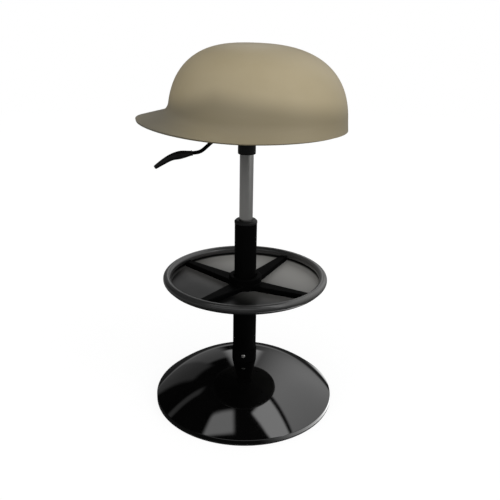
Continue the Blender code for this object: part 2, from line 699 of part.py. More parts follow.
def folded_strip(name, section, length, wall):
    """A strip of sheet metal folded to a section of (y, z) points, running along x about the origin."""
    bm = bmesh.new()
    verts = [bm.verts.new((-length / 2, y, z)) for y, z in section]
    edges = [bm.edges.new(pair) for pair in zip(verts, verts[1:])]
    run = bmesh.ops.extrude_edge_only(bm, edges=edges)["geom"]
    moved = [item for item in run if isinstance(item, bmesh.types.BMVert)]
    bmesh.ops.translate(bm, verts=moved, vec=(length, 0, 0))
    for face in bm.faces:
        face.normal_update()
    obj = mesh_object(name, bm)
    sheet = obj.modifiers.new("Sheet", "SOLIDIFY")
    sheet.thickness = wall
    sheet.offset = 0
    sheet.use_even_offset = True
    sheet.use_quality_normals = True
    return obj


def make_carrier():
    """The folded carrier between socket and seat, the lever's saddle and pin, and the seat's bolts."""
    half = CARRIER_WALL / 2
    floor = CARRIER_BOTTOM + half
    flange = CARRIER_TOP - half
    section = [
        (-CARRIER_HALF_WIDTH, flange),
        (-CARRIER_CHANNEL_HALF_WIDTH, flange),
        (-CARRIER_CHANNEL_HALF_WIDTH, floor),
        (CARRIER_CHANNEL_HALF_WIDTH, floor),
        (CARRIER_CHANNEL_HALF_WIDTH, flange),
        (CARRIER_HALF_WIDTH, flange),
    ]
    carrier = folded_strip("seat_carrier", section, CARRIER_LENGTH, CARRIER_WALL)
    place(carrier, SATIN_BLACK, LIFT)
    bore = drill(
        "cylinder_hole",
        (0, 0, CARRIER_BOTTOM - CUT_MARGIN),
        (0, 0, CARRIER_FLOOR + CUT_MARGIN),
        CYLINDER_RADIUS + HOLE_GAP,
        MEDIUM_STEPS,
    )
    combine(carrier, bore)
    combine(carrier, lever_slot())

    drop = CARRIER_FLOOR + FIT_GAP + SADDLE_WALL / 2 - LEVER_HEIGHT
    ear = LEVER_EYE_RADIUS + SADDLE_EAR_MARGIN
    saddle_section = [
        (-SADDLE_HALF_WIDTH, ear),
        (-SADDLE_HALF_WIDTH, drop),
        (SADDLE_HALF_WIDTH, drop),
        (SADDLE_HALF_WIDTH, ear),
    ]
    saddle = folded_strip("lever_saddle", saddle_section, SADDLE_LENGTH, SADDLE_WALL)
    place(saddle, SATIN_BLACK, LIFT)
    saddle.matrix_local = LEVER_PIVOT.matrix_local
    reach = SADDLE_HALF_WIDTH + SADDLE_WALL
    pin_hole = drill(
        "pin_hole",
        (0, -reach - CUT_MARGIN, 0),
        (0, reach + CUT_MARGIN, 0),
        LEVER_PIN_RADIUS + FIT_GAP,
        COARSE_STEPS,
        LEVER_PIVOT,
    )
    combine(saddle, pin_hole)
    outline = [(0, reach), (LEVER_PIN_RADIUS, reach), (LEVER_PIN_RADIUS, -reach), (0, -reach)]
    pin = place(turned("lever_pin", outline, COARSE_STEPS, closed=False), ZINC, LIFT)
    pin.matrix_local = LEVER_PIVOT.matrix_local @ Matrix.Rotation(math.pi / 2, 4, "X")
    return carrier, pin_hole


def lever_slot():
    """The cutter for the notch in the carrier's floor where the lever passes down."""
    bm = bmesh.new()
    bmesh.ops.create_cube(bm, size=1)
    end = CARRIER_LENGTH
    width = 2 * (LEVER_ROD_RADIUS + LEVER_SLOT_GAP)
    bottom = CARRIER_BOTTOM - CUT_MARGIN - LEVER_HEIGHT
    top = CARRIER_FLOOR + CUT_MARGIN - LEVER_HEIGHT
    bmesh.ops.scale(bm, verts=bm.verts, vec=(end - LEVER_SLOT_START, width, top - bottom))
    middle = ((end + LEVER_SLOT_START) / 2, 0, (bottom + top) / 2)
    return hide(mesh_object("lever_slot", bm), Matrix.Translation(middle), LEVER_PIVOT)


def make_seat_bolts(carrier, board):
    """Four bolts up through the carrier's flanges into tee nuts in the board."""
    barrel = SEAT_BOLT_RADIUS + FIT_GAP + TEE_NUT_WALL
    tip = BOARD_TOP - SEAT_BOLT_TIP_DROP
    nut_bottom = BOARD_BOTTOM + TEE_NUT_RISE
    seat = CARRIER_TOP - CARRIER_WALL - FIT_GAP
    nut_top = BOARD_TOP + FIT_GAP + TEE_NUT_FLANGE
    places = [(x, y) for x in (-CARRIER_BOLT_X, CARRIER_BOLT_X) for y in (-CARRIER_BOLT_Y, CARRIER_BOLT_Y)]
    for number, (x, y) in enumerate(places, 1):
        clear = drill(
            f"seat_bolt_hole_{number}",
            (x, y, seat - CUT_MARGIN),
            (x, y, CARRIER_TOP + FIT_GAP / 2),
            SEAT_BOLT_RADIUS + HOLE_GAP,
            COARSE_STEPS,
        )
        combine(carrier, clear)
        wide = drill(
            f"tee_nut_hole_{number}",
            (x, y, BOARD_BOTTOM - CUT_MARGIN),
            (x, y, BOARD_TOP + CUT_MARGIN),
            barrel + HOLE_GAP,
            COARSE_STEPS,
        )
        combine(board, wide)
        outline = screw_outline(
            SEAT_BOLT_RADIUS, SEAT_BOLT_HEAD_RADIUS, seat - tip, 0, SEAT_BOLT_HEAD_HEIGHT
        )
        bolt = place(turned(f"seat_bolt_{number}", outline, COARSE_STEPS, closed=False), ZINC, LIFT)
        bolt.matrix_local = aim((x, y, seat), DOWN)
        bore = SEAT_BOLT_RADIUS + FIT_GAP
        nut = [
            (TEE_NUT_FLANGE_RADIUS, nut_top),
            (TEE_NUT_FLANGE_RADIUS, BOARD_TOP + FIT_GAP),
            (barrel, BOARD_TOP + FIT_GAP),
            (barrel, nut_bottom),
            (bore, nut_bottom),
            (bore, nut_top),
        ]
        tee = place(turned(f"tee_nut_{number}", nut, COARSE_STEPS), ZINC, LIFT)
        tee.location = (x, y, 0)


def smooth_path(points):
    """A smooth curve through points of any dimension, with PATH_STEPS steps to each stretch."""
    points = [Vector(point) for point in points]
    padded = [2 * points[0] - points[1], *points, 2 * points[-1] - points[-2]]
    path = []
    for a, b, c, d in zip(padded, padded[1:], padded[2:], padded[3:]):
        for i in range(PATH_STEPS):
            t = i / PATH_STEPS
            curve = (2 * a - 5 * b + 4 * c - d) * t**2 + (3 * (b - c) + d - a) * t**3
            path.append(0.5 * (2 * b + (c - a) * t + curve))
    return [*path, points[-1]]


def tube_along(name, stations):
    """A round bar as a mesh, along stations of (x, z, radius) in the lever's plane."""
    curve = bpy.data.curves.new(name, "CURVE")
    curve.dimensions = "3D"
    curve.bevel_depth = 1
    curve.bevel_resolution = 2
    curve.use_fill_caps = True
    spline = curve.splines.new("POLY")
    spline.points.add(len(stations) - 1)
    for point, (x, z, radius) in zip(spline.points, stations):
        point.co = (x, 0, z, 1)
        point.radius = radius
    guide = bpy.data.objects.new(name + "_path", curve)
    CUTTERS.objects.link(guide)
    graph = bpy.context.evaluated_depsgraph_get()
    mesh = bpy.data.meshes.new_from_object(guide.evaluated_get(graph))
    bpy.data.objects.remove(guide)
    bm = bmesh.new()
    bm.from_mesh(mesh)
    bmesh.ops.remove_doubles(bm, verts=bm.verts, dist=MERGE_DISTANCE)
    bmesh.ops.recalc_face_normals(bm, faces=bm.faces)
    bpy.data.meshes.remove(mesh)
    return mesh_object(name, bm)


def make_lever(pin_hole):
    """The bent lever rod with its pivot eye, and the tapered grip on its end."""
    inner_end = -(LEVER_PIVOT_REACH + LEVER_PAD_PAST_AXIS)
    middle = [(inner_end, 0), (inner_end / 2, 0), (0, 0), *LEVER_BEND, *GRIP_PATH]
    radii = [LEVER_ROD_RADIUS] * (len(middle) - len(GRIP_RADII)) + list(GRIP_RADII)
    path = smooth_path([(x, z, radius) for (x, z), radius in zip(middle, radii)])
    grip_start = PATH_STEPS * (len(middle) - len(GRIP_RADII))
    rod_end = grip_start + GRIP_OVERLAP_STEPS
    rod = tube_along("lever_rod", [(x, z, LEVER_ROD_RADIUS) for x, z, _ in path[: rod_end + 1]])
    place(rod, SATIN_BLACK, LEVER_PIVOT)
    half = SADDLE_HALF_WIDTH - SADDLE_WALL / 2 - FIT_GAP
    eye = drill("lever_eye", (0, -half, 0), (0, half, 0), LEVER_EYE_RADIUS, SMALL_STEPS, LEVER_PIVOT)
    combine(rod, eye, "UNION")
    combine(rod, pin_hole)

    grip = tube_along("lever_grip", path[grip_start:])
    place(grip, BLACK_PLASTIC, LEVER_PIVOT)
    bored = [(x, z, LEVER_ROD_RADIUS + FIT_GAP) for x, z, _ in path[grip_start - 1 : rod_end + 2]]
    socket = tube_along("grip_bore", bored)
    combine(grip, hide(socket, Matrix.Identity(4), LEVER_PIVOT))


def seat_plan(angle, front, back, half_width):
    """A point of an oval that is longer to one side, at an angle from the back."""
    length = back if math.cos(angle) > 0 else front
    return Vector((length * math.cos(angle), half_width * math.sin(angle)))


def to_front(angle):
    """How far an angle faces the front, from 0 at the sides to 1."""
    return max(0.0, -math.cos(angle)) ** 2


def to_back(angle):
    """How far an angle faces the back, from 0 at the sides to 1."""
    return max(0.0, math.cos(angle)) ** 2


def crown_section(angle, inset, foot):
    """The crown's curve from near its top down to a height, inset from the outer face."""
    plan = seat_plan(angle, CROWN_FRONT - inset, CROWN_BACK - inset, CROWN_HALF_WIDTH - inset)
    height = CROWN_HEIGHT - inset
    low = math.asin(max(0.0, (foot - CROWN_BASE) / height) ** (CROWN_POWER / 2))
    points = []
    for row in range(1, CROWN_ROWS + 1):
        lean = math.pi / 2 - (math.pi / 2 - low) * row / CROWN_ROWS
        spread = math.cos(lean) ** (2 / CROWN_POWER)
        rise = math.sin(lean) ** (2 / CROWN_POWER)
        points.append(Vector((*(plan * spread), CROWN_BASE + height * rise)))
    return points


def shell_section(angle):
    """The seat's outer face at one angle: crown, fillet and brim, from the top to the brim's edge."""
    front, back = to_front(angle), to_back(angle)
    root_height = CROWN_BASE + BRIM_ROOT_SIDE + BRIM_ROOT_FRONT_LIFT * front - BRIM_ROOT_BACK_DROP * back
    edge_height = CROWN_BASE + BRIM_EDGE_SIDE + BRIM_EDGE_FRONT_LIFT * front
    root_plan = seat_plan(angle, CROWN_FRONT, CROWN_BACK, CROWN_HALF_WIDTH)
    edge_plan = seat_plan(
        angle, CROWN_FRONT + BRIM_FRONT, CROWN_BACK + BRIM_BACK, CROWN_HALF_WIDTH + BRIM_SIDE
    )
    root = Vector((*root_plan, root_height))
    edge = Vector((*edge_plan, edge_height))
    points = crown_section(angle, 0, root_height + BRIM_FILLET)
    start = points[-1]
    reach = min(FILLET_MOST_OF_BRIM, BRIM_FILLET / (edge - root).length)
    finish = root.lerp(edge, reach)
    for row in range(1, FILLET_ROWS + 1):
        t = row / FILLET_ROWS
        points.append(start.lerp(root, t).lerp(root.lerp(finish, t), t))
    return points + [finish.lerp(edge, row / BRIM_ROWS) for row in range(1, BRIM_ROWS + 1)]


def lofted(name, sections, top, floor=False):
    """A surface through equal sections round the axis, with a top point and, where asked, a flat floor."""
    bm = bmesh.new()
    rows = [[bm.verts.new(point) for point in section] for section in sections]
    peak = bm.verts.new(top)
    for one, other in zip(rows, rows[1:] + rows[:1]):
        bm.faces.new((peak, one[0], other[0]))
        for i in range(len(one) - 1):
            bm.faces.new((one[i], one[i + 1], other[i + 1], other[i]))
    if floor:
        bm.faces.new([row[-1] for row in reversed(rows)])
    bmesh.ops.recalc_face_normals(bm, faces=bm.faces)
    return mesh_object(name, bm)


def board_point(angle):
    """A point of the board's outline: inside the crown's wall, and further out under the brim."""
    inset = SHELL_WALL + BOARD_INSET
    plan = seat_plan(angle, CROWN_FRONT - inset, CROWN_BACK - inset, CROWN_HALF_WIDTH - inset)
    return (plan.x - BOARD_FRONT_REACH * to_front(angle) ** 2, plan.y, BOARD_BOTTOM)


def make_board():
    """The flat board that closes the seat from below and carries the tee nuts."""
    bm = bmesh.new()
    face = bm.faces.new([bm.verts.new(board_point(angle)) for angle in around(SEAT_STEPS)])
    lifted = bmesh.ops.extrude_face_region(bm, geom=[face])["geom"]
    moved = [item for item in lifted if isinstance(item, bmesh.types.BMVert)]
    bmesh.ops.translate(bm, verts=moved, vec=(0, 0, BOARD_THICKNESS))
    bmesh.ops.recalc_face_normals(bm, faces=bm.faces)
    return place(mesh_object("seat_board", bm), PLYWOOD, LIFT)


def make_seat():
    """The cap-shaped shell, and the foam liner that carries its crown on the board."""
    angles = around(SEAT_STEPS)
    peak = CROWN_BASE + CROWN_HEIGHT
    shell = lofted("seat_shell", [shell_section(angle) for angle in angles], (0, 0, peak))
    wall = shell.modifiers.new("Wall", "SOLIDIFY")
    wall.thickness = SHELL_WALL
    wall.offset = -1
    wall.use_even_offset = True
    wall.use_quality_normals = True
    place(shell, BEIGE_SHELL, LIFT)

    inset = SHELL_WALL + LINER_GAP
    foot = BOARD_TOP + FIT_GAP
    sections = [crown_section(angle, inset, foot) for angle in angles]
    liner = lofted("seat_liner", sections, (0, 0, peak - inset), floor=True)
    place(liner, FOAM, LIFT)
    inset += LINER_WALL
    sections = [crown_section(angle, inset, foot - CUT_MARGIN) for angle in angles[::2]]
    hollow = lofted("liner_hollow", sections, (0, 0, peak - inset), floor=True)
    combine(liner, hide(hollow, Matrix.Identity(4)))


def main():
    """Builds the stool from the floor up."""
    weight = make_base()
    collar_top = make_column_foot(weight)
    make_column(collar_top)
    make_footrest()
    make_swivel()
    make_lift()
    carrier, pin_hole = make_carrier()
    make_lever(pin_hole)
    make_seat_bolts(carrier, make_board())
    make_seat()


main()
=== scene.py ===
"""Dresses the gas-lift bar stool: finer meshes for its pieces, their finishes, and the studio round them.

Metres, +Z up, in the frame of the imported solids. The origin is on the floor, on the column's axis, and
the seat's brim points to -X.
"""

import logging
import math
from collections.abc import Iterator, Sequence
from dataclasses import dataclass, field
from enum import Enum
from functools import cache

import bmesh
import bpy
from mathutils import Matrix, Vector


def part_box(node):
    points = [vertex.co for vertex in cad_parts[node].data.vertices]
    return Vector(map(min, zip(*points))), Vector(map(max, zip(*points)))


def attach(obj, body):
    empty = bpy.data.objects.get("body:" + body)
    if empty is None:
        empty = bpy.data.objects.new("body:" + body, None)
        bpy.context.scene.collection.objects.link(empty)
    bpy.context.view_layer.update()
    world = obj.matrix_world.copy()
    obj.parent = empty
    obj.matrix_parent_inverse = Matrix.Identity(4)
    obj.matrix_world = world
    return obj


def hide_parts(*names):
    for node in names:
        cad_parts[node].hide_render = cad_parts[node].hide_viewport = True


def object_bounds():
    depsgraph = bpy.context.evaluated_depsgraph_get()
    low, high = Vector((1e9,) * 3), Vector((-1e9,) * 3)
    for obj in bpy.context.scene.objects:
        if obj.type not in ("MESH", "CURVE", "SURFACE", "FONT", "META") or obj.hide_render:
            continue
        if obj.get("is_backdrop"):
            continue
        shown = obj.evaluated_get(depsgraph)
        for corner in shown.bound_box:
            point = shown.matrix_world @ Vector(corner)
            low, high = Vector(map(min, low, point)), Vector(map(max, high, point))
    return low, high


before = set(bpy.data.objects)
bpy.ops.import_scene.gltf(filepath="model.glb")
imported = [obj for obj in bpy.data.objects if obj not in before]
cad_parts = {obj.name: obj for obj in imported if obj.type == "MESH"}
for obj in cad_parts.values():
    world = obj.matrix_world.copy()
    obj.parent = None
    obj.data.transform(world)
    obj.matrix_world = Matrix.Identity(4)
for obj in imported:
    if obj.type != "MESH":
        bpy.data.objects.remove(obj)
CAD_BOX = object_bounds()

Colour = tuple[float, float, float]
Point = tuple[float, float]
Piece = bpy.types.Object
Node = bpy.types.Node
Socket = bpy.types.NodeSocket

LOG = logging.getLogger("bar_stool")

FULL_TURN = 2 * math.pi
WELD = 0.00001
FIT_GAP = 0.0003
UP = (0, 0, 1)
SHARP_ANGLE = math.radians(40)
SMOOTH_RUN = math.radians(20)
MOST_CUT = 0.45
SMALL_STEPS = 48
MEDIUM_STEPS = 96
LARGE_STEPS = 160
SCREW_HEAD = ((1, 0), (1, 0.35), (0.93, 0.66), (0.78, 0.87), (0.55, 0.97), (0.25, 1))


class Body(Enum):
    """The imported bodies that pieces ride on."""

    STAND = "stand"
    SEAT = "seat"
    LEVER = "lever"
    VALVE = "valve"


class Relief(Enum):
    """The fine relief that a finish has, by the name of its shared effect."""

    RIPPLE = "lacquer_ripple"
    GRAIN = "moulded_grain"
    POWDER = "powder_texture"
    TURNED = "turning_marks"


@dataclass(frozen=True)
class NodeBox:
    """A CAD node's box at rest, read as that of a piece turned about the column."""

    low: Vector
    high: Vector

    @classmethod
    def of(cls, node: str) -> "NodeBox":
        """Reads a node's box from the frame."""
        return cls(*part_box(node))

    @property
    def radius(self) -> float:
        """The outer radius of a piece on the column's axis."""
        return self.high.x

    @property
    def bottom(self) -> float:
        """The height of the lowest point."""
        return self.low.z

    @property
    def top(self) -> float:
        """The height of the highest point."""
        return self.high.z

    @property
    def centre(self) -> Vector:
        """The middle of the box."""
        return (self.low + self.high) / 2


@dataclass(frozen=True)
class ScrewSize:
    """A round-headed screw: the radius and length of its shank, the radius and height of its head.

    Thread and pitch are shares of the shank's radius. The recess has its half length and half width as
    shares of the head's radius, and its depth as a share of the head's height.
    """

    shank: float
    length: float
    head: float
    rise: float
    thread: float = 0.12
    pitch: float = 0.5
    recess: tuple[float, float, float] = (0.58, 0.13, 0.6)


def polar(radius: float, angle: float, height: float) -> Vector:
    """A point at a radius, an angle and a height."""
    return Vector((radius * math.cos(angle), radius * math.sin(angle), height))


def around(count: int, first: float = 0.0) -> list[float]:
    """Evenly spaced angles round the column."""
    return [first + FULL_TURN * i / count for i in range(count)]


def aim(start: Vector, way: Vector) -> Matrix:
    """The matrix that takes +Z at the origin to a direction, at start."""
    return Matrix.Translation(start) @ Vector(way).to_track_quat("Z", "X").to_matrix().to_4x4()


class Workshop:
    """Modelling steps that the sub-assemblies share, done with Blender's operators."""

    @staticmethod
    def clear() -> None:
        """Deselects everything, so that an operator acts only on what comes next."""
        bpy.ops.object.select_all(action="DESELECT")

    @classmethod
    def pick(cls, piece: Piece) -> None:
        """Selects one piece alone and makes it active.

        Args:
            piece: The piece.
        """
        cls.clear()
        piece.select_set(True)
        bpy.context.view_layer.objects.active = piece

    @staticmethod
    def adopt(name: str) -> Piece:
        """Names the object that an operator has just added, and puts its place in its mesh.

        Args:
            name: The piece's name.

        Returns:
            The piece.
        """
        piece = bpy.context.object
        piece.name = piece.data.name = name
        bpy.ops.object.transform_apply()
        return piece

    @staticmethod
    def begin() -> None:
        """Goes into edit mode with the whole mesh selected."""
        bpy.ops.object.mode_set(mode="EDIT")
        bpy.ops.mesh.select_all(action="SELECT")

    @staticmethod
    def end() -> None:
        """Goes back to object mode."""
        bpy.ops.object.mode_set(mode="OBJECT")

    @classmethod
    def modify(cls, piece: Piece, kind: str, **settings: object) -> None:
        """Adds a modifier to a piece and applies it.

        Args:
            piece: The piece.
            kind: The modifier's type.
            **settings: The modifier's values.
        """
        cls.pick(piece)
        modifier = piece.modifiers.new(kind.title(), kind)
        for name, value in settings.items():
            setattr(modifier, name, value)
        bpy.ops.object.modifier_apply(modifier=modifier.name)

    @classmethod
    def combine(cls, piece: Piece, tool: Piece, operation: str = "DIFFERENCE") -> None:
        """Cuts a tool from a piece, or joins it to the piece, and throws the tool away."""
        cls.modify(piece, "BOOLEAN", object=tool, operation=operation, solver="EXACT")
        bpy.data.objects.remove(tool)

    @classmethod
    def close(cls, piece: Piece) -> None:
        """Merges a mesh's doubles and turns its faces outwards.

        Args:
            piece: The piece to mend.
        """
        cls.pick(piece)
        cls.begin()
        bpy.ops.mesh.remove_doubles(threshold=WELD)
        bpy.ops.mesh.normals_make_consistent(inside=False)
        cls.end()

    @classmethod
    def polish(cls, piece: Piece) -> Piece:
        """Shades a piece's round faces smooth and keeps its edges.

        Args:
            piece: The piece to shade.

        Returns:
            The same piece.
        """
        cls.pick(piece)
        bpy.ops.object.shade_smooth_by_angle(angle=SHARP_ANGLE)
        return piece

    @classmethod
    def soften(cls, piece: Piece, width: float, segments: int, angle: float = SHARP_ANGLE) -> Piece:
        """Rounds the edges of a piece that are sharper than an angle, and shades it."""
        cls.modify(piece, "BEVEL", width=width, segments=segments, limit_method="ANGLE", angle_limit=angle)
        return cls.polish(piece)

    @classmethod
    def thicken(cls, sheet: Piece, wall: float, offset: float) -> None:
        """Gives a sheet its wall, of one thickness round its bends."""
        even = {"use_even_offset": True, "use_quality_normals": True}
        cls.modify(sheet, "SOLIDIFY", thickness=wall, offset=offset, **even)

    @classmethod
    def move(cls, piece: Piece, matrix: Matrix) -> Piece:
        """Takes a piece to another place, and puts that place in its mesh.

        Args:
            piece: The piece.
            matrix: Where it goes.

        Returns:
            The same piece.
        """
        cls.pick(piece)
        piece.matrix_world = matrix
        bpy.ops.object.transform_apply()
        return piece

    @classmethod
    def copies(cls, master: Piece, places: dict[str, Matrix]) -> list[Piece]:
        """Copies a piece, each copy with its own mesh, and throws the master away.

        Args:
            master: The piece, modelled at the origin.
            places: The name and the place of each copy.

        Returns:
            The copies.
        """
        made = []
        for name, matrix in places.items():
            cls.pick(master)
            bpy.ops.object.duplicate()
            copy = bpy.context.object
            copy.name = copy.data.name = name
            made.append(cls.move(copy, matrix))
        bpy.data.objects.remove(master)
        return made

    @staticmethod
    def rounded(outline: Sequence[Point], radius: float, closed: bool = True, steps: int = 4) -> list[Point]:
        """Rounds the corners of an outline.

        Args:
            outline: Points of (radius, height).
            radius: How far a corner is rounded, less where its sides are short.
            closed: Whether the last point joins the first.
            steps: Points on each round.

        Returns:
            The outline with an arc at each corner. Points on a smooth run stay.
        """
        points = [Vector(point) for point in outline]
        last = len(points) - 1
        made = []
        for i, corner in enumerate(points):
            if not closed and i in (0, last):
                made.append(tuple(corner))
                continue
            before, after = points[i - 1] - corner, points[(i + 1) % (last + 1)] - corner
            turn = math.pi - before.angle(after)
            if turn < SMOOTH_RUN:
                made.append(tuple(corner))
                continue
            cut = min(radius * math.tan(turn / 2), MOST_CUT * before.length, MOST_CUT * after.length)
            start, end = corner + before.normalized() * cut, corner + after.normalized() * cut
            for step in range(steps + 1):
                t = step / steps
                made.append(tuple(start.lerp(corner, t).lerp(corner.lerp(end, t), t)))
        return made

    @classmethod
    def turned(cls, name: str, outline: Sequence[Point], steps: int, closed: bool = True) -> Piece:
        """A piece turned about the column's axis, extruded ring by ring from a circle.

        Args:
            name: The piece's name.
            outline: Points of (radius, height), none of them on the axis.
            steps: Faces round a turn.
            closed: Whether the outline closes on itself. Otherwise both of its ends are capped.

        Returns:
            The piece, shaded.
        """
        cls.clear()
        radius, height = outline[0]
        bpy.ops.mesh.primitive_circle_add(vertices=steps, radius=radius, location=(0, 0, height))
        piece = cls.adopt(name)
        cls.begin()
        stops = [*outline[1:], outline[0]] if closed else outline[1:]
        for next_radius, next_height in stops:
            rise = (0, 0, next_height - height)
            bpy.ops.mesh.extrude_region_move(TRANSFORM_OT_translate={"value": rise})
            share = next_radius / radius
            bpy.ops.transform.resize(value=(share, share, 1), center_override=(0, 0, 0))
            radius, height = next_radius, next_height
        if not closed:
            cls.cap_ends()
        cls.end()
        cls.close(piece)
        return cls.polish(piece)

    @staticmethod
    def cap() -> None:
        """Closes the selected ring with a fan of faces."""
        bpy.ops.mesh.extrude_region_move()
        bpy.ops.mesh.merge(type="CENTER")

    @classmethod
    def cap_ends(cls) -> None:
        """Closes the selected ring, then the open ring at the other end."""
        cls.cap()
        bpy.ops.mesh.select_all(action="DESELECT")
        bpy.ops.mesh.select_non_manifold()
        cls.cap()

    @classmethod
    def pipe(cls, name: str, box: NodeBox, inner: float, edge: float) -> Piece:
        """A plain tube with softened edges.

        Args:
            name: The piece's name.
            box: The node whose outer size it has.
            inner: The radius of its bore.
            edge: How far its edges are rounded.

        Returns:
            The tube.
        """
        outline = [(box.radius, box.top), (box.radius, box.bottom), (inner, box.bottom), (inner, box.top)]
        return cls.turned(name, cls.rounded(outline, edge), MEDIUM_STEPS)

    @classmethod
    def block(cls, name: str, low: Sequence[float], high: Sequence[float]) -> Piece:
        """A box between two corners, as a start or as a cutter.

        Args:
            name: The piece's name.
            low: Its lowest corner.
            high: Its highest corner.

        Returns:
            The box.
        """
        cls.clear()
        bpy.ops.mesh.primitive_cube_add(
            size=1,
            location=[(a + b) / 2 for a, b in zip(low, high)],
            scale=[b - a for a, b in zip(low, high)],
        )
        return cls.adopt(name)

    @classmethod
    def post(cls, name: str, radius: float, bottom: float, top: float, steps: int = SMALL_STEPS) -> Piece:
        """An upright round bar on the axis, as a cutter."""
        return cls.turned(name, [(radius, bottom), (radius, top)], steps, closed=False)

    @classmethod
    def tube(cls, name: str, stations: Sequence[tuple[float, float, float]]) -> Piece:
        """A round bar along a bent path.

        Args:
            name: The piece's name.
            stations: Points of (x, z, radius) in the plane y = 0.

        Returns:
            The bar as a closed mesh.
        """
        cls.clear()
        bpy.ops.curve.primitive_bezier_curve_add()
        curve = bpy.context.object.data
        curve.dimensions = "3D"
        curve.bevel_depth = 1
        curve.bevel_resolution = 10
        curve.use_fill_caps = True
        curve.splines.clear()
        spline = curve.splines.new("POLY")
        spline.points.add(len(stations) - 1)
        for point, (x, z, radius) in zip(spline.points, stations):
            point.co = (x, 0, z, 1)
            point.radius = radius
        bpy.ops.object.convert(target="MESH")
        piece = cls.adopt(name)
        cls.close(piece)
        return cls.polish(piece)

    @classmethod
    def screw(cls, name: str, size: ScrewSize) -> Piece:
        """A round-headed screw with a cross recess, its seat at the origin and its head up.

        Args:
            name: The piece's name.
            size: Its sizes.

        Returns:
            The screw.
        """
        shank, length, head, rise = size.shank, size.length, size.head, size.rise
        thread = shank * size.thread
        pitch = shank * size.pitch
        turns = int((length - 2 * pitch) / pitch)
        ridge = []
        for i in range(turns):
            z = -length + pitch + i * pitch
            ridge += [(shank - thread, z), (shank, z + pitch / 2)]
        point = [(shank * 0.6, -length), (shank - thread, -length + pitch / 2)]
        crown = [(head * across, rise * up) for across, up in SCREW_HEAD]
        outline = [*point, *ridge, (shank, -pitch / 4), (shank, 0), *crown]
        piece = cls.turned(name, outline, SMALL_STEPS, closed=False)
        reach, half, depth = size.recess
        for x, y in ((head * reach, head * half), (head * half, head * reach)):
            low, high = (-x, -y, rise - rise * depth), (x, y, rise * 2)
            cls.combine(piece, cls.block("recess", low, high))
        return cls.polish(piece)


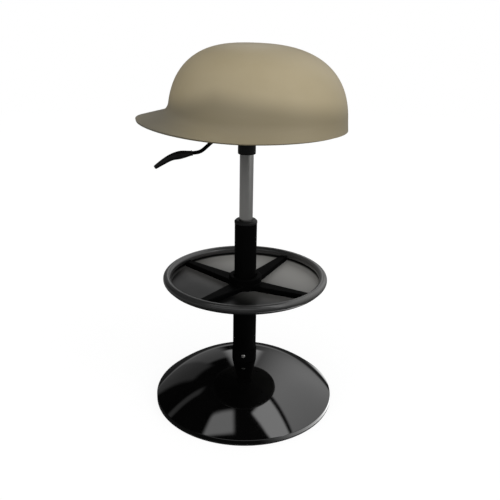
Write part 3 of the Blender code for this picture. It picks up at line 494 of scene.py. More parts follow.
class Effects:
    """Shader node groups that several finishes share, each built at its first use."""

    @staticmethod
    def new_group(name: str, inputs: dict[str, float], output: str) -> bpy.types.ShaderNodeTree:
        """An empty shader group with named sockets.

        Args:
            name: The group's name.
            inputs: The name and the usual value of each input.
            output: The name of its one output.

        Returns:
            The group.
        """
        group = bpy.data.node_groups.new(name, "ShaderNodeTree")
        for socket, value in inputs.items():
            made = group.interface.new_socket(name=socket, in_out="INPUT", socket_type="NodeSocketFloat")
            made.default_value = value
        group.interface.new_socket(name=output, in_out="OUTPUT", socket_type="NodeSocketFloat")
        return group

    @classmethod
    @cache
    def mottle(cls) -> bpy.types.ShaderNodeTree:
        """Broad soft patches, from 0 to 1.

        Returns:
            The node group.
        """
        group = cls.new_group("soft_mottle", {"Scale": 8.0}, "Mask")
        bench = ShaderBench(group)
        given, out = bench.ends()
        noise = bench.noise(given.outputs["Scale"], Detail=5.0, Roughness=0.55)
        bench.join(bench.ramp(noise, 0.32, 0.68, "LINEAR"), out.inputs["Mask"])
        return group

    @classmethod
    @cache
    def moulded_grain(cls) -> bpy.types.ShaderNodeTree:
        """The fine leather-like pebbling of a moulded skin, as a height.

        Returns:
            The node group.
        """
        group = cls.new_group("moulded_grain", {"Scale": 700.0}, "Height")
        bench = ShaderBench(group)
        given, out = bench.ends()
        pebble = bench.add("ShaderNodeTexVoronoi", Randomness=0.9)
        pebble.feature = "SMOOTH_F1"
        pebble.inputs["Smoothness"].default_value = 0.5
        bench.join(bench.place(), pebble.inputs["Vector"])
        bench.join(given.outputs["Scale"], pebble.inputs["Scale"])
        finer = bench.noise(bench.maths("MULTIPLY", given.outputs["Scale"], 1.7), Detail=2.0)
        share = bench.maths("MULTIPLY", finer, 0.6)
        bench.join(bench.maths("SUBTRACT", share, pebble.outputs["Distance"]), out.inputs["Height"])
        return group

    @classmethod
    @cache
    def powder_texture(cls) -> bpy.types.ShaderNodeTree:
        """The close bumps of baked powder paint, as a height.

        Returns:
            The node group.
        """
        group = cls.new_group("powder_texture", {"Scale": 600.0}, "Height")
        bench = ShaderBench(group)
        given, out = bench.ends()
        noise = bench.noise(given.outputs["Scale"], Detail=3.0, Roughness=0.6)
        bench.join(noise, out.inputs["Height"])
        return group

    @classmethod
    @cache
    def lacquer_ripple(cls) -> bpy.types.ShaderNodeTree:
        """The long low waves of sprayed lacquer, as a height.

        Returns:
            The node group.
        """
        group = cls.new_group("lacquer_ripple", {"Scale": 90.0}, "Height")
        bench = ShaderBench(group)
        given, out = bench.ends()
        noise = bench.noise(given.outputs["Scale"], Detail=1.0, Roughness=0.3)
        bench.join(noise, out.inputs["Height"])
        return group

    @classmethod
    @cache
    def turning_marks(cls) -> bpy.types.ShaderNodeTree:
        """Fine rings round the column's axis, as a lathe or a polishing belt leaves them, as a height.

        Returns:
            The node group.
        """
        group = cls.new_group("turning_marks", {"Scale": 1500.0}, "Height")
        bench = ShaderBench(group)
        given, out = bench.ends()
        rings = bench.mapped(scale=(0.02, 0.02, 1.0))
        noise = bench.noise(given.outputs["Scale"], rings, Detail=4.0, Roughness=0.65)
        bench.join(noise, out.inputs["Height"])
        return group

    @classmethod
    @cache
    def hairlines(cls) -> bpy.types.ShaderNodeTree:
        """Sparse thin scratches in two directions, as a mask.

        Returns:
            The node group.
        """
        group = cls.new_group("hairline_scratches", {"Scale": 16.0, "Amount": 0.5}, "Mask")
        bench = ShaderBench(group)
        given, out = bench.ends()
        masks = []
        for turn in (0.5, 2.2):
            streaks = bench.mapped(scale=(0.25, 22.0, 22.0), rotation=(turn, turn * 0.7, turn))
            noise = bench.noise(given.outputs["Scale"], streaks, Detail=2.0)
            masks.append(bench.ramp(noise, 0.70, 0.78, "LINEAR"))
        both = bench.maths("MAXIMUM", *masks)
        bench.join(bench.maths("MULTIPLY", both, given.outputs["Amount"]), out.inputs["Mask"])
        return group

    @classmethod
    @cache
    def dust(cls) -> bpy.types.ShaderNodeTree:
        """Fine dust that settles on faces that look up, as a mask.

        Returns:
            The node group.
        """
        group = cls.new_group("settled_dust", {"Scale": 40.0, "Cover": 0.1}, "Mask")
        bench = ShaderBench(group)
        given, out = bench.ends()
        facing = bench.along(bench.add("ShaderNodeNewGeometry").outputs["Normal"], UP)
        noise = bench.noise(given.outputs["Scale"], Detail=6.0, Roughness=0.7)
        upward = bench.maths("POWER", bench.maths("MAXIMUM", facing, 0.0), 2.0)
        settled = bench.maths("MULTIPLY", upward, bench.ramp(noise, 0.42, 0.75, "LINEAR"))
        bench.join(bench.maths("MULTIPLY", settled, given.outputs["Cover"]), out.inputs["Mask"])
        return group

    @classmethod
    @cache
    def edge_rub(cls) -> bpy.types.ShaderNodeTree:
        """Edges that handling has rubbed thin, broken up by noise, as a mask.

        Returns:
            The node group.
        """
        group = cls.new_group("edge_rub", {"Scale": 120.0, "Amount": 0.3}, "Mask")
        bench = ShaderBench(group)
        given, out = bench.ends()
        sharp = bench.add("ShaderNodeNewGeometry").outputs["Pointiness"]
        noise = bench.noise(given.outputs["Scale"], Detail=4.0, Roughness=0.65)
        edge = bench.ramp(sharp, 0.53, 0.62, "LINEAR")
        worn = bench.maths("MULTIPLY", edge, bench.ramp(noise, 0.45, 0.6, "LINEAR"))
        bench.join(bench.maths("MULTIPLY", worn, given.outputs["Amount"]), out.inputs["Mask"])
        return group

    @classmethod
    def relief(cls, kind: Relief) -> bpy.types.ShaderNodeTree:
        """The group of a named relief."""
        return getattr(cls, kind.value)()


class ShaderBench:
    """A node tree under work, with short ways to add and join nodes."""

    def __init__(self, tree: bpy.types.NodeTree) -> None:
        """Takes up a tree."""
        self.tree = tree

    def add(self, kind: str, **values: object) -> Node:
        """Adds a node and sets its inputs by name.

        Args:
            kind: The node's type.
            **values: Its inputs by name.

        Returns:
            The node.
        """
        node = self.tree.nodes.new(kind)
        for name, value in values.items():
            node.inputs[name].default_value = value
        return node

    def join(self, start: Socket, end: Socket) -> None:
        """Links an output to an input."""
        self.tree.links.new(start, end)

    def feed(self, value: Socket | float | Colour, end: Socket) -> None:
        """Links an output to an input, or sets the input to a number or a colour.

        Args:
            value: A socket, a number or a colour.
            end: The input.
        """
        if isinstance(value, tuple):
            end.default_value = (*value, 1.0)
        elif isinstance(value, (int, float)):
            end.default_value = value
        else:
            self.join(value, end)

    def ends(self) -> tuple[Node, Node]:
        """A group's input and output nodes."""
        return self.add("NodeGroupInput"), self.add("NodeGroupOutput")

    def place(self) -> Socket:
        """The piece's own coordinates."""
        return self.add("ShaderNodeTexCoord").outputs["Object"]

    def mapped(self, scale: Sequence[float], rotation: Sequence[float] = (0.0, 0.0, 0.0)) -> Socket:
        """The piece's own coordinates, turned and stretched.

        Args:
            scale: How often the pattern repeats, along each axis.
            rotation: Its turn about each axis.

        Returns:
            The coordinates.
        """
        node = self.add("ShaderNodeMapping", Scale=scale, Rotation=rotation)
        self.join(self.place(), node.inputs["Vector"])
        return node.outputs["Vector"]

    def noise(self, scale: Socket | float, place: Socket | None = None, **values: float) -> Socket:
        """A noise texture.

        Args:
            scale: A socket or a number.
            place: Its coordinates, or none for the piece's own.
            **values: Its other inputs by name.

        Returns:
            Its value.
        """
        node = self.add("ShaderNodeTexNoise", **values)
        self.join(self.place() if place is None else place, node.inputs["Vector"])
        self.feed(scale, node.inputs["Scale"])
        return node.outputs["Fac"]

    def effect(self, group: bpy.types.ShaderNodeTree, **values: float) -> Socket:
        """Places a shared effect with its own values, and gives its output.

        Args:
            group: The effect's node group.
            **values: Its inputs by name.

        Returns:
            The effect's output.
        """
        node = self.tree.nodes.new("ShaderNodeGroup")
        node.node_tree = group
        for name, value in values.items():
            node.inputs[name].default_value = value
        return node.outputs[0]

    def maths(self, operation: str, first: Socket | float, second: Socket | float = 0.0) -> Socket:
        """A Math node.

        Args:
            operation: What it does.
            first: A socket or a number.
            second: A socket or a number.

        Returns:
            Its result.
        """
        node = self.tree.nodes.new("ShaderNodeMath")
        node.operation = operation
        for socket, value in zip(node.inputs, (first, second)):
            self.feed(value, socket)
        return node.outputs[0]

    def mix(self, share: Socket, first: Colour | Socket, second: Colour | Socket) -> Socket:
        """Mixes two colours.

        Args:
            share: How much of the second.
            first: A colour, or the socket of one.
            second: A colour, or the socket of one.

        Returns:
            The mixed colour.
        """
        node = self.tree.nodes.new("ShaderNodeMix")
        node.data_type = "RGBA"
        self.join(share, node.inputs["Factor"])
        colours = [socket for socket in node.inputs if socket.type == "RGBA"]
        for socket, value in zip(colours, (first, second)):
            self.feed(value, socket)
        return next(socket for socket in node.outputs if socket.type == "RGBA")

    def spread(self, value: Socket, low: float, high: float) -> Socket:
        """Takes a mask from 0..1 to low..high.

        Args:
            value: The mask.
            low: What 0 becomes.
            high: What 1 becomes.

        Returns:
            The new value.
        """
        node = self.add("ShaderNodeMapRange", **{"To Min": low, "To Max": high})
        self.join(value, node.inputs["Value"])
        return node.outputs["Result"]

    def along(self, way: Socket, axis: Sequence[float]) -> Socket:
        """How far a vector runs along an axis.

        Args:
            way: The vector.
            axis: The axis.

        Returns:
            Their dot product.
        """
        node = self.add("ShaderNodeVectorMath")
        node.operation = "DOT_PRODUCT"
        self.join(way, node.inputs[0])
        node.inputs[1].default_value = axis
        return node.outputs["Value"]

    def ramp(self, value: Socket, low: float, high: float, kind: str = "SMOOTHSTEP") -> Socket:
        """A mask that goes from 0 at low to 1 at high.

        Args:
            value: What is measured.
            low: Where the mask is 0.
            high: Where the mask is 1.
            kind: How it runs between them.

        Returns:
            The mask.
        """
        node = self.add("ShaderNodeMapRange", **{"From Min": low, "From Max": high})
        node.interpolation_type = kind
        self.join(value, node.inputs["Value"])
        return node.outputs["Result"]


@dataclass(frozen=True)
class Finish:
    """A surface finish: its colours and gloss, its fine relief, and the marks of use on it."""

    name: str
    slot: str
    colour: Colour
    patch_colour: Colour
    roughness: tuple[float, float]
    metallic: float = 0.0
    specular: float = 0.5
    coat: float = 0.0
    coat_roughness: float = 0.03
    mottle_scale: float = 9.0
    relief: Relief = Relief.POWDER
    relief_scale: float = 600.0
    relief_strength: float = 0.1
    relief_depth: float = 0.0002
    dust: float = 0.0
    dust_colour: Colour = (0.22, 0.21, 0.19)
    scratches: float = 0.0
    rub: float = 0.0
    rub_colour: Colour = (0.05, 0.05, 0.05)

    def material(self) -> bpy.types.Material:
        """The finish's material, built at its first use."""
        return bpy.data.materials.get(self.name) or self.build()

    def body_colour(self, bench: ShaderBench, mottle: Socket) -> Socket:
        """The colour of the finish itself, before the marks of use."""
        return bench.mix(mottle, self.colour, self.patch_colour)

    def build(self) -> bpy.types.Material:
        """Builds the node material.

        Returns:
            The material, with its marks of use over its own colour, gloss and relief.
        """
        material = bpy.data.materials.new(self.name)
        material.use_nodes = True
        material.diffuse_color = (*self.colour, 1.0)
        bench = ShaderBench(material.node_tree)
        shader = material.node_tree.nodes["Principled BSDF"]
        shader.inputs["Metallic"].default_value = self.metallic
        shader.inputs["Specular IOR Level"].default_value = self.specular
        shader.inputs["Coat Weight"].default_value = self.coat
        shader.inputs["Coat Roughness"].default_value = self.coat_roughness

        mottle = bench.effect(Effects.mottle(), Scale=self.mottle_scale)
        colour = self.body_colour(bench, mottle)
        gloss = bench.spread(mottle, *self.roughness)
        if self.rub:
            worn = bench.effect(Effects.edge_rub(), Amount=self.rub)
            colour = bench.mix(worn, colour, self.rub_colour)
        if self.scratches:
            lines = bench.effect(Effects.hairlines(), Amount=self.scratches)
            gloss = bench.maths("ADD", gloss, lines)
        if self.dust:
            settled = bench.effect(Effects.dust(), Cover=self.dust)
            colour = bench.mix(settled, colour, self.dust_colour)
            gloss = bench.maths("ADD", gloss, settled)
        bench.join(colour, shader.inputs["Base Color"])
        bench.join(gloss, shader.inputs["Roughness"])

        height = bench.effect(Effects.relief(self.relief), Scale=self.relief_scale)
        bump = bench.add("ShaderNodeBump", Strength=self.relief_strength, Distance=self.relief_depth)
        bench.join(height, bump.inputs["Height"])
        bench.join(bump.outputs["Normal"], shader.inputs["Normal"])
        if self.coat:
            bench.join(bump.outputs["Normal"], shader.inputs["Coat Normal"])
        return material

    def dress(self, piece: Piece, body: Body, *nodes: str) -> Piece:
        """Puts the finish on a new piece and sets it in the frame.

        Args:
            piece: The piece, in its place.
            body: The body that it rides on.
            *nodes: The CAD nodes that it stands for.

        Returns:
            The piece.
        """
        piece.data.materials.clear()
        piece.data.materials.append(self.material())
        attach(piece, body.value)
        if nodes:
            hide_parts(*nodes)
        return piece


@dataclass(frozen=True)
class PlyFinish(Finish):
    """Plywood: long figure on its faces and thin plies on its edges."""

    ply: float = 0.0015
    figure: float = 66.0
    ply_share: float = 0.35
    ply_tone: float = 0.6

    def body_colour(self, bench: ShaderBench, mottle: Socket) -> Socket:
        """Wood figure along x, crossed by the plies.

        Args:
            bench: The material's tree.
            mottle: The soft patches.

        Returns:
            The wood's colour.
        """
        fibres = bench.mapped(scale=(0.08, 1.0, 1.0))
        noise = bench.noise(self.figure, fibres, Detail=6.0, Distortion=0.6)
        height = bench.along(bench.place(), UP)
        layer = bench.maths("FLOOR", bench.maths("DIVIDE", height, self.ply))
        crossed = bench.maths("PINGPONG", layer, 1.0)
        grain = bench.mix(noise, self.colour, self.patch_colour)
        shaded = bench.maths("MULTIPLY", crossed, self.ply_share)
        darker = tuple(channel * self.ply_tone for channel in self.patch_colour)
        return bench.mix(shaded, grain, darker)


@dataclass(frozen=True)
class PaintedLightFinish(Finish):
    """A finish with painted light: its colour lightens towards one side, as if light and reflections fall
    there, and only below a height where it has one, which leaves painted shade above it.
    """

    painted_light_colour: Colour = (0.1, 0.1, 0.1)
    painted_light_way: tuple[float, float, float] = (1.0, 0.0, 0.0)
    painted_light_reach: tuple[float, float] = (-0.1, 0.1)
    painted_light_top: tuple[float, float] | None = None

    def body_colour(self, bench: ShaderBench, mottle: Socket) -> Socket:
        """The finish's colour, with painted light along the given direction.

        Args:
            bench: The material's tree.
            mottle: The soft patches.

        Returns:
            The hazed colour.
        """
        # Painted light: the colour lightens along the given direction.
        painted_light = bench.ramp(bench.along(bench.place(), self.painted_light_way), *self.painted_light_reach)
        if self.painted_light_top:
            # Painted shade: above the given height the colour stays dark.
            below = bench.ramp(bench.along(bench.place(), UP), *self.painted_light_top)
            painted_light = bench.maths("MULTIPLY", painted_light, below)
        return bench.mix(painted_light, super().body_colour(bench, mottle), self.painted_light_colour)


@dataclass(frozen=True)
class ShellFinish(Finish):
    """The seat's cover, with painted shade: its band and brim are painted darker than its crown, as if the
    crown and the turn of its wall shade them.
    """

    # Painted shade: the darker colours of the band and of the brim, and where they lie.
    band_shade_colour: Colour = (0.262, 0.220, 0.136)
    shade_edge_height: float = 0.722
    shade_edge_slope: float = 0.14
    shade_dip_start: float = -0.06
    shade_dip_slope: float = 0.45
    shade_edge_blur: float = 0.022
    brim_shade_colour: Colour = (0.204, 0.183, 0.138)
    brim_shade_reach: tuple[float, float] = (-0.06, -0.20)

    def body_colour(self, bench: ShaderBench, mottle: Socket) -> Socket:
        """The crown's colour, which goes over softly to the painted shade of the band and the deeper painted
        shade of the brim.

        Args:
            bench: The material's tree.
            mottle: The soft patches.

        Returns:
            The cover's colour.
        """
        parts = bench.add("ShaderNodeSeparateXYZ")
        bench.join(bench.place(), parts.inputs["Vector"])
        # Painted shade: below an edge whose height changes along x, the colour goes over to the band's
        # shade, and towards -X to the brim's deeper shade.
        dip = bench.maths("MAXIMUM", bench.maths("SUBTRACT", self.shade_dip_start, parts.outputs["X"]), 0.0)
        slope = bench.maths("MULTIPLY", parts.outputs["X"], self.shade_edge_slope)
        level = bench.maths("ADD", slope, bench.maths("MULTIPLY", dip, self.shade_dip_slope))
        level = bench.maths("ADD", parts.outputs["Z"], level)
        crown = bench.ramp(level, self.shade_edge_height - self.shade_edge_blur, self.shade_edge_height + self.shade_edge_blur)
        low = bench.mix(bench.ramp(parts.outputs["X"], *self.brim_shade_reach), self.band_shade_colour, self.brim_shade_colour)
        return bench.mix(crown, low, super().body_colour(bench, mottle))


GLOSS_LACQUER = Finish(
    "gloss_black_lacquer", "gloss_black", (0.0008, 0.0008, 0.0008), (0.0014, 0.0014, 0.0014), (0.05, 0.09),
    coat=1.0, relief=Relief.RIPPLE, relief_scale=70.0, relief_strength=0.02, relief_depth=0.001,
    dust=0.004, scratches=0.02,
)
# The ring's colour has painted light: it lightens towards the right (+X), where the studio's light and
# reflections fall.
RING_LACQUER = PaintedLightFinish(
    "satin_black_ring_lacquer", "gloss_black_ring", (0.019, 0.019, 0.019), (0.026, 0.026, 0.026),
    (0.26, 0.36), coat=0.7, coat_roughness=0.2, relief=Relief.RIPPLE, relief_scale=160.0,
    relief_strength=0.04, relief_depth=0.0006, scratches=0.12, rub=0.3,
    painted_light_colour=(0.068, 0.067, 0.064), painted_light_way=(1.0, 0.0, 0.0), painted_light_reach=(0.07, 0.17),
)
# The plate's colour has painted light: it lightens towards the right and the back, where light and
# reflections fall, and keeps a painted shade on its turned-up edge under the ring.
PLATE_LACQUER = PaintedLightFinish(
    "satin_black_plate_lacquer", "gloss_black", (0.004, 0.004, 0.004), (0.006, 0.006, 0.006), (0.30, 0.38),
    specular=0.2, relief=Relief.RIPPLE, relief_scale=60.0, relief_strength=0.05, relief_depth=0.0008,
    dust=0.01, scratches=0.1, painted_light_colour=(0.34, 0.334, 0.317), painted_light_way=(0.62, 0.78, 0.0),
    painted_light_reach=(-0.09, 0.12), painted_light_top=(0.2970, 0.2945),
)
SATIN_PAINT = Finish(
    "satin_black_paint", "satin_black", (0.0012, 0.0012, 0.0012), (0.002, 0.002, 0.002), (0.42, 0.55),
    specular=0.02, relief_scale=900.0, relief_strength=0.12, rub=0.25,
)
SOCKET_PAINT = Finish(
    "satin_black_socket_paint", "satin_black", (0.006, 0.006, 0.006), (0.009, 0.009, 0.009), (0.42, 0.55),
    specular=0.2, relief_scale=900.0, relief_strength=0.12, rub=0.25,
)
CAST_PAINT = Finish(
    "satin_black_cast_paint", "satin_black_casting", (0.0012, 0.0012, 0.0012), (0.002, 0.002, 0.002),
    (0.48, 0.62), specular=0.02, relief_scale=380.0, relief_strength=0.2, rub=0.35,
)
BLACK_PLASTIC = Finish(
    "black_moulded_plastic", "black_plastic", (0.005, 0.005, 0.005), (0.008, 0.008, 0.008), (0.40, 0.52),
    specular=0.3, relief=Relief.GRAIN, relief_scale=1400.0, relief_strength=0.1, relief_depth=0.0001,
)
RUBBER = Finish(
    "black_rubber", "black_rubber", (0.010, 0.010, 0.010), (0.016, 0.016, 0.015), (0.72, 0.88),
    specular=0.25, relief_scale=1100.0, relief_strength=0.2, dust=0.05,
)
LIFT_STEEL = Finish(
    "satin_lift_steel", "lift_steel", (0.48, 0.478, 0.462), (0.54, 0.538, 0.52), (0.24, 0.34), metallic=1.0,
    relief=Relief.TURNED, relief_scale=1500.0, relief_strength=0.05, relief_depth=0.00005, scratches=0.1,
)
BRIGHT_STEEL = Finish(
    "bright_ground_steel", "bright_steel", (0.58, 0.58, 0.57), (0.64, 0.64, 0.63), (0.16, 0.26),
    metallic=1.0, relief=Relief.TURNED, relief_scale=2200.0, relief_strength=0.05, relief_depth=0.00005,
)
ZINC = Finish(
    "bright_zinc_plate", "zinc_plate", (0.56, 0.56, 0.55), (0.66, 0.65, 0.62), (0.22, 0.38), metallic=1.0,
    mottle_scale=180.0, relief_scale=1500.0, relief_strength=0.05, relief_depth=0.00005,
)
BRONZE = Finish(
    "bearing_bronze", "bearing_bronze", (0.42, 0.27, 0.12), (0.34, 0.20, 0.09), (0.32, 0.5), metallic=1.0,
    mottle_scale=60.0, relief=Relief.TURNED, relief_scale=1800.0, relief_strength=0.08,
)
CAST_IRON = Finish(
    "grey_cast_iron", "cast_iron", (0.09, 0.085, 0.08), (0.06, 0.05, 0.042), (0.66, 0.82), metallic=0.8,
    mottle_scale=30.0, relief_scale=300.0, relief_strength=0.4, relief_depth=0.0004,
)
FOAM = Finish(
    "foam_liner", "foam_liner", (0.62, 0.56, 0.40), (0.56, 0.49, 0.33), (0.9, 0.97),
    relief_scale=800.0, relief_strength=0.5, relief_depth=0.0006,
)
PLYWOOD = PlyFinish(
    "stained_plywood", "plywood", (0.15, 0.10, 0.062), (0.24, 0.165, 0.10), (0.55, 0.7),
    relief_scale=300.0, relief_strength=0.15,
)
# The seat's cover, with painted shade on its band and brim.
BEIGE_SHELL = ShellFinish(
    "beige_moulded_shell", "beige_shell", (0.393, 0.328, 0.203), (0.413, 0.346, 0.219), (0.38, 0.46),
    specular=0.4, mottle_scale=14.0, relief=Relief.GRAIN, relief_scale=1300.0, relief_strength=0.10,
    relief_depth=0.00012, dust=0.03, dust_colour=(0.46, 0.42, 0.33),
)


class SubAssembly:
    """A group of pieces that go on the bench together."""

    @property
    def column_bore(self) -> float:
        """The bore of a piece that goes round the column."""
        return NodeBox.of("column_tube").radius + FIT_GAP

    @property
    def cylinder_bore(self) -> float:
        """The bore of a piece that goes round the gas cylinder."""
        return NodeBox.of("gas_cylinder").radius + FIT_GAP

    def build(self) -> Iterator[Piece]:
        """Builds and dresses the pieces, one after the other."""
        raise NotImplementedError


@dataclass
class Base(SubAssembly):
    """The pressed dome with its rubber foot, its floor cover, and the collar round the column's foot."""

    lip_height: float = 0.013
    rise: float = 0.0847
    dome_power: float = 2.2
    wall: float = 0.002
    dome_rows: int = 44
    lip_radius: float = 0.0035
    lip_steps: int = 8
    thin_edge: float = 0.0008
    ring_width: float = 0.012
    ring_foot: float = 0.003
    ring_edge: float = 0.0006
    groove_starts: tuple[int, ...] = (2, 5)
    groove_section: tuple[Point, ...] = ((0, 0), (0.2, 0.3), (0.8, 0.3), (1, 0))
    leg_wall: float = 0.002
    cover_hole: float = 0.004
    cover_edge: float = 0.0008
    cover_rings: tuple[float, ...] = (0.82, 0.6, 0.38, 0.2)
    cover_section: tuple[Point, ...] = ((0.006, 0), (0.004, 0.35), (-0.004, 0.35), (-0.006, 0))
    collar_edge: float = 0.0012
    screw_size: ScrewSize = ScrewSize(shank=0.0022, length=0.0025, head=0.0048, rise=0.003)
    collar_screw_angle: float = math.radians(-94)

    def dome_height(self, radius: float, edge: float) -> float:
        """The height of the dome's outer face at a radius."""
        return self.lip_height + self.rise * (1 - (radius / edge) ** self.dome_power)

    def dome(self) -> Piece:
        """The dome, a pressed sheet with a rounded lip.

        Returns:
            The dome.
        """
        box = NodeBox.of("base_dome")
        neck = self.column_bore
        edge = box.radius
        radii = [neck + (edge - neck) * (i / self.dome_rows) for i in range(self.dome_rows + 1)]
        outer = [(radius, self.dome_height(radius, edge)) for radius in radii]
        inner = [(min(radius, edge - self.wall), height - self.wall) for radius, height in outer]
        outline = outer + [(edge, box.bottom), (edge - self.wall, box.bottom)] + inner[::-1]
        softened = self.soft_lip(outline, len(outer) - 1)
        return Workshop.turned("base_dome_skin", softened, LARGE_STEPS)

    def soft_lip(self, outline: list[Point], corner: int) -> list[Point]:
        """Rounds the dome's lip, where the skin turns down to the floor, and the thin edges less.

        Args:
            outline: The dome's section.
            corner: The number of the lip's point in it.

        Returns:
            The softened section.
        """
        last = Vector(outline[corner])
        clear = self.lip_radius * 2
        kept = [point for point in outline[: corner + 1] if (Vector(point) - last).length > clear]
        kept.append(tuple(last))
        turned_down = [*kept[-2:], outline[corner + 1]]
        lip = Workshop.rounded(turned_down, self.lip_radius, closed=False, steps=self.lip_steps)
        return Workshop.rounded([*kept[:-2], *lip, *outline[corner + 2 :]], self.thin_edge)

    def floor_ring(self) -> Piece:
        """The rubber ring under the lip, with two grip grooves.

        Returns:
            The ring.
        """
        box = NodeBox.of("floor_ring")
        leg = box.radius - self.wall - FIT_GAP
        inside = box.radius - self.ring_width
        run = self.ring_width / 8
        grooves = [
            (box.radius - start * run - run * across, self.ring_foot * up)
            for start in self.groove_starts
            for across, up in self.groove_section
        ]
        outline = [
            (leg, box.top), (leg, self.ring_foot), (box.radius, self.ring_foot), (box.radius, 0), *grooves,
            (inside, 0), (inside, self.ring_foot), (leg - self.leg_wall, self.ring_foot),
            (leg - self.leg_wall, box.top),
        ]
        return Workshop.turned("floor_ring_rubber", Workshop.rounded(outline, self.ring_edge), LARGE_STEPS)

    def floor_cover(self) -> Piece:
        """The moulded cover that closes the base from below, with pressed rings.

        Returns:
            The cover.
        """
        box = NodeBox.of("floor_cover")
        edge, top = box.radius, box.top
        rings = [
            (edge * share + across, top * up)
            for share in self.cover_rings
            for across, up in self.cover_section
        ]
        outline = [(self.cover_hole, top), (edge, top), (edge, 0), *rings, (self.cover_hole, 0)]
        softened = Workshop.rounded(outline, self.cover_edge, closed=False)
        return Workshop.turned("floor_cover_moulding", softened, LARGE_STEPS, closed=False)

    def collar(self) -> Piece:
        """The collar that hides the dome's neck."""
        box = NodeBox.of("base_collar")
        return Workshop.pipe("base_collar_turned", box, self.column_bore, self.collar_edge)

    def collar_screw(self) -> Piece:
        """The bright screw in the collar.

        Returns:
            The screw, in its place.
        """
        collar = NodeBox.of("base_collar")
        height = NodeBox.of("base_collar_screw").centre.z
        screw = Workshop.screw("base_collar_screw_cross", self.screw_size)
        seat = polar(collar.radius + FIT_GAP, self.collar_screw_angle, height)
        return Workshop.move(screw, aim(seat, polar(1, self.collar_screw_angle, 0)))

    def build(self) -> Iterator[Piece]:
        """Builds the base from the outside in.

        Returns:
            The pieces, one after the other.
        """
        yield GLOSS_LACQUER.dress(self.dome(), Body.STAND, "base_dome")
        yield RUBBER.dress(self.floor_ring(), Body.STAND, "floor_ring")
        yield BLACK_PLASTIC.dress(self.floor_cover(), Body.STAND, "floor_cover")
        yield SATIN_PAINT.dress(self.collar(), Body.STAND, "base_collar")
        yield ZINC.dress(self.collar_screw(), Body.STAND, "base_collar_screw")


@dataclass
class Column(SubAssembly):
    """The column tube, the sleeve that carries the footrest, and the guide bush at the top."""

    wall: float = 0.002
    edge_radius: float = 0.0006
    bush_chamfer: float = 0.0035
    bush_edge: float = 0.0012

    def bush(self) -> Piece:
        """The chamfered cap and plug that guides the gas cylinder.

        Returns:
            The bush.
        """
        box = NodeBox.of("guide_bush")
        tube = NodeBox.of("column_tube")
        bore = self.cylinder_bore
        plug = tube.radius - self.wall - FIT_GAP
        seat = tube.top + FIT_GAP
        outline = [
            (box.radius - self.bush_chamfer, box.top), (box.radius, box.top - self.bush_chamfer),
            (box.radius, seat), (plug, seat), (plug, box.bottom), (bore, box.bottom), (bore, box.top),
        ]
        return Workshop.turned("guide_bush_turned", Workshop.rounded(outline, self.bush_edge), MEDIUM_STEPS)

    def build(self) -> Iterator[Piece]:
        """Builds the column from the foot up.

        Returns:
            The pieces, one after the other.
        """
        box = NodeBox.of("column_tube")
        tube = Workshop.pipe("column_tube_drawn", box, box.radius - self.wall, self.edge_radius)
        yield SATIN_PAINT.dress(tube, Body.STAND, "column_tube")
        box = NodeBox.of("footrest_sleeve")
        sleeve = Workshop.pipe("footrest_sleeve_turned", box, self.column_bore, self.edge_radius)
        yield SATIN_PAINT.dress(sleeve, Body.STAND, "footrest_sleeve")
        yield BLACK_PLASTIC.dress(self.bush(), Body.STAND, "guide_bush")


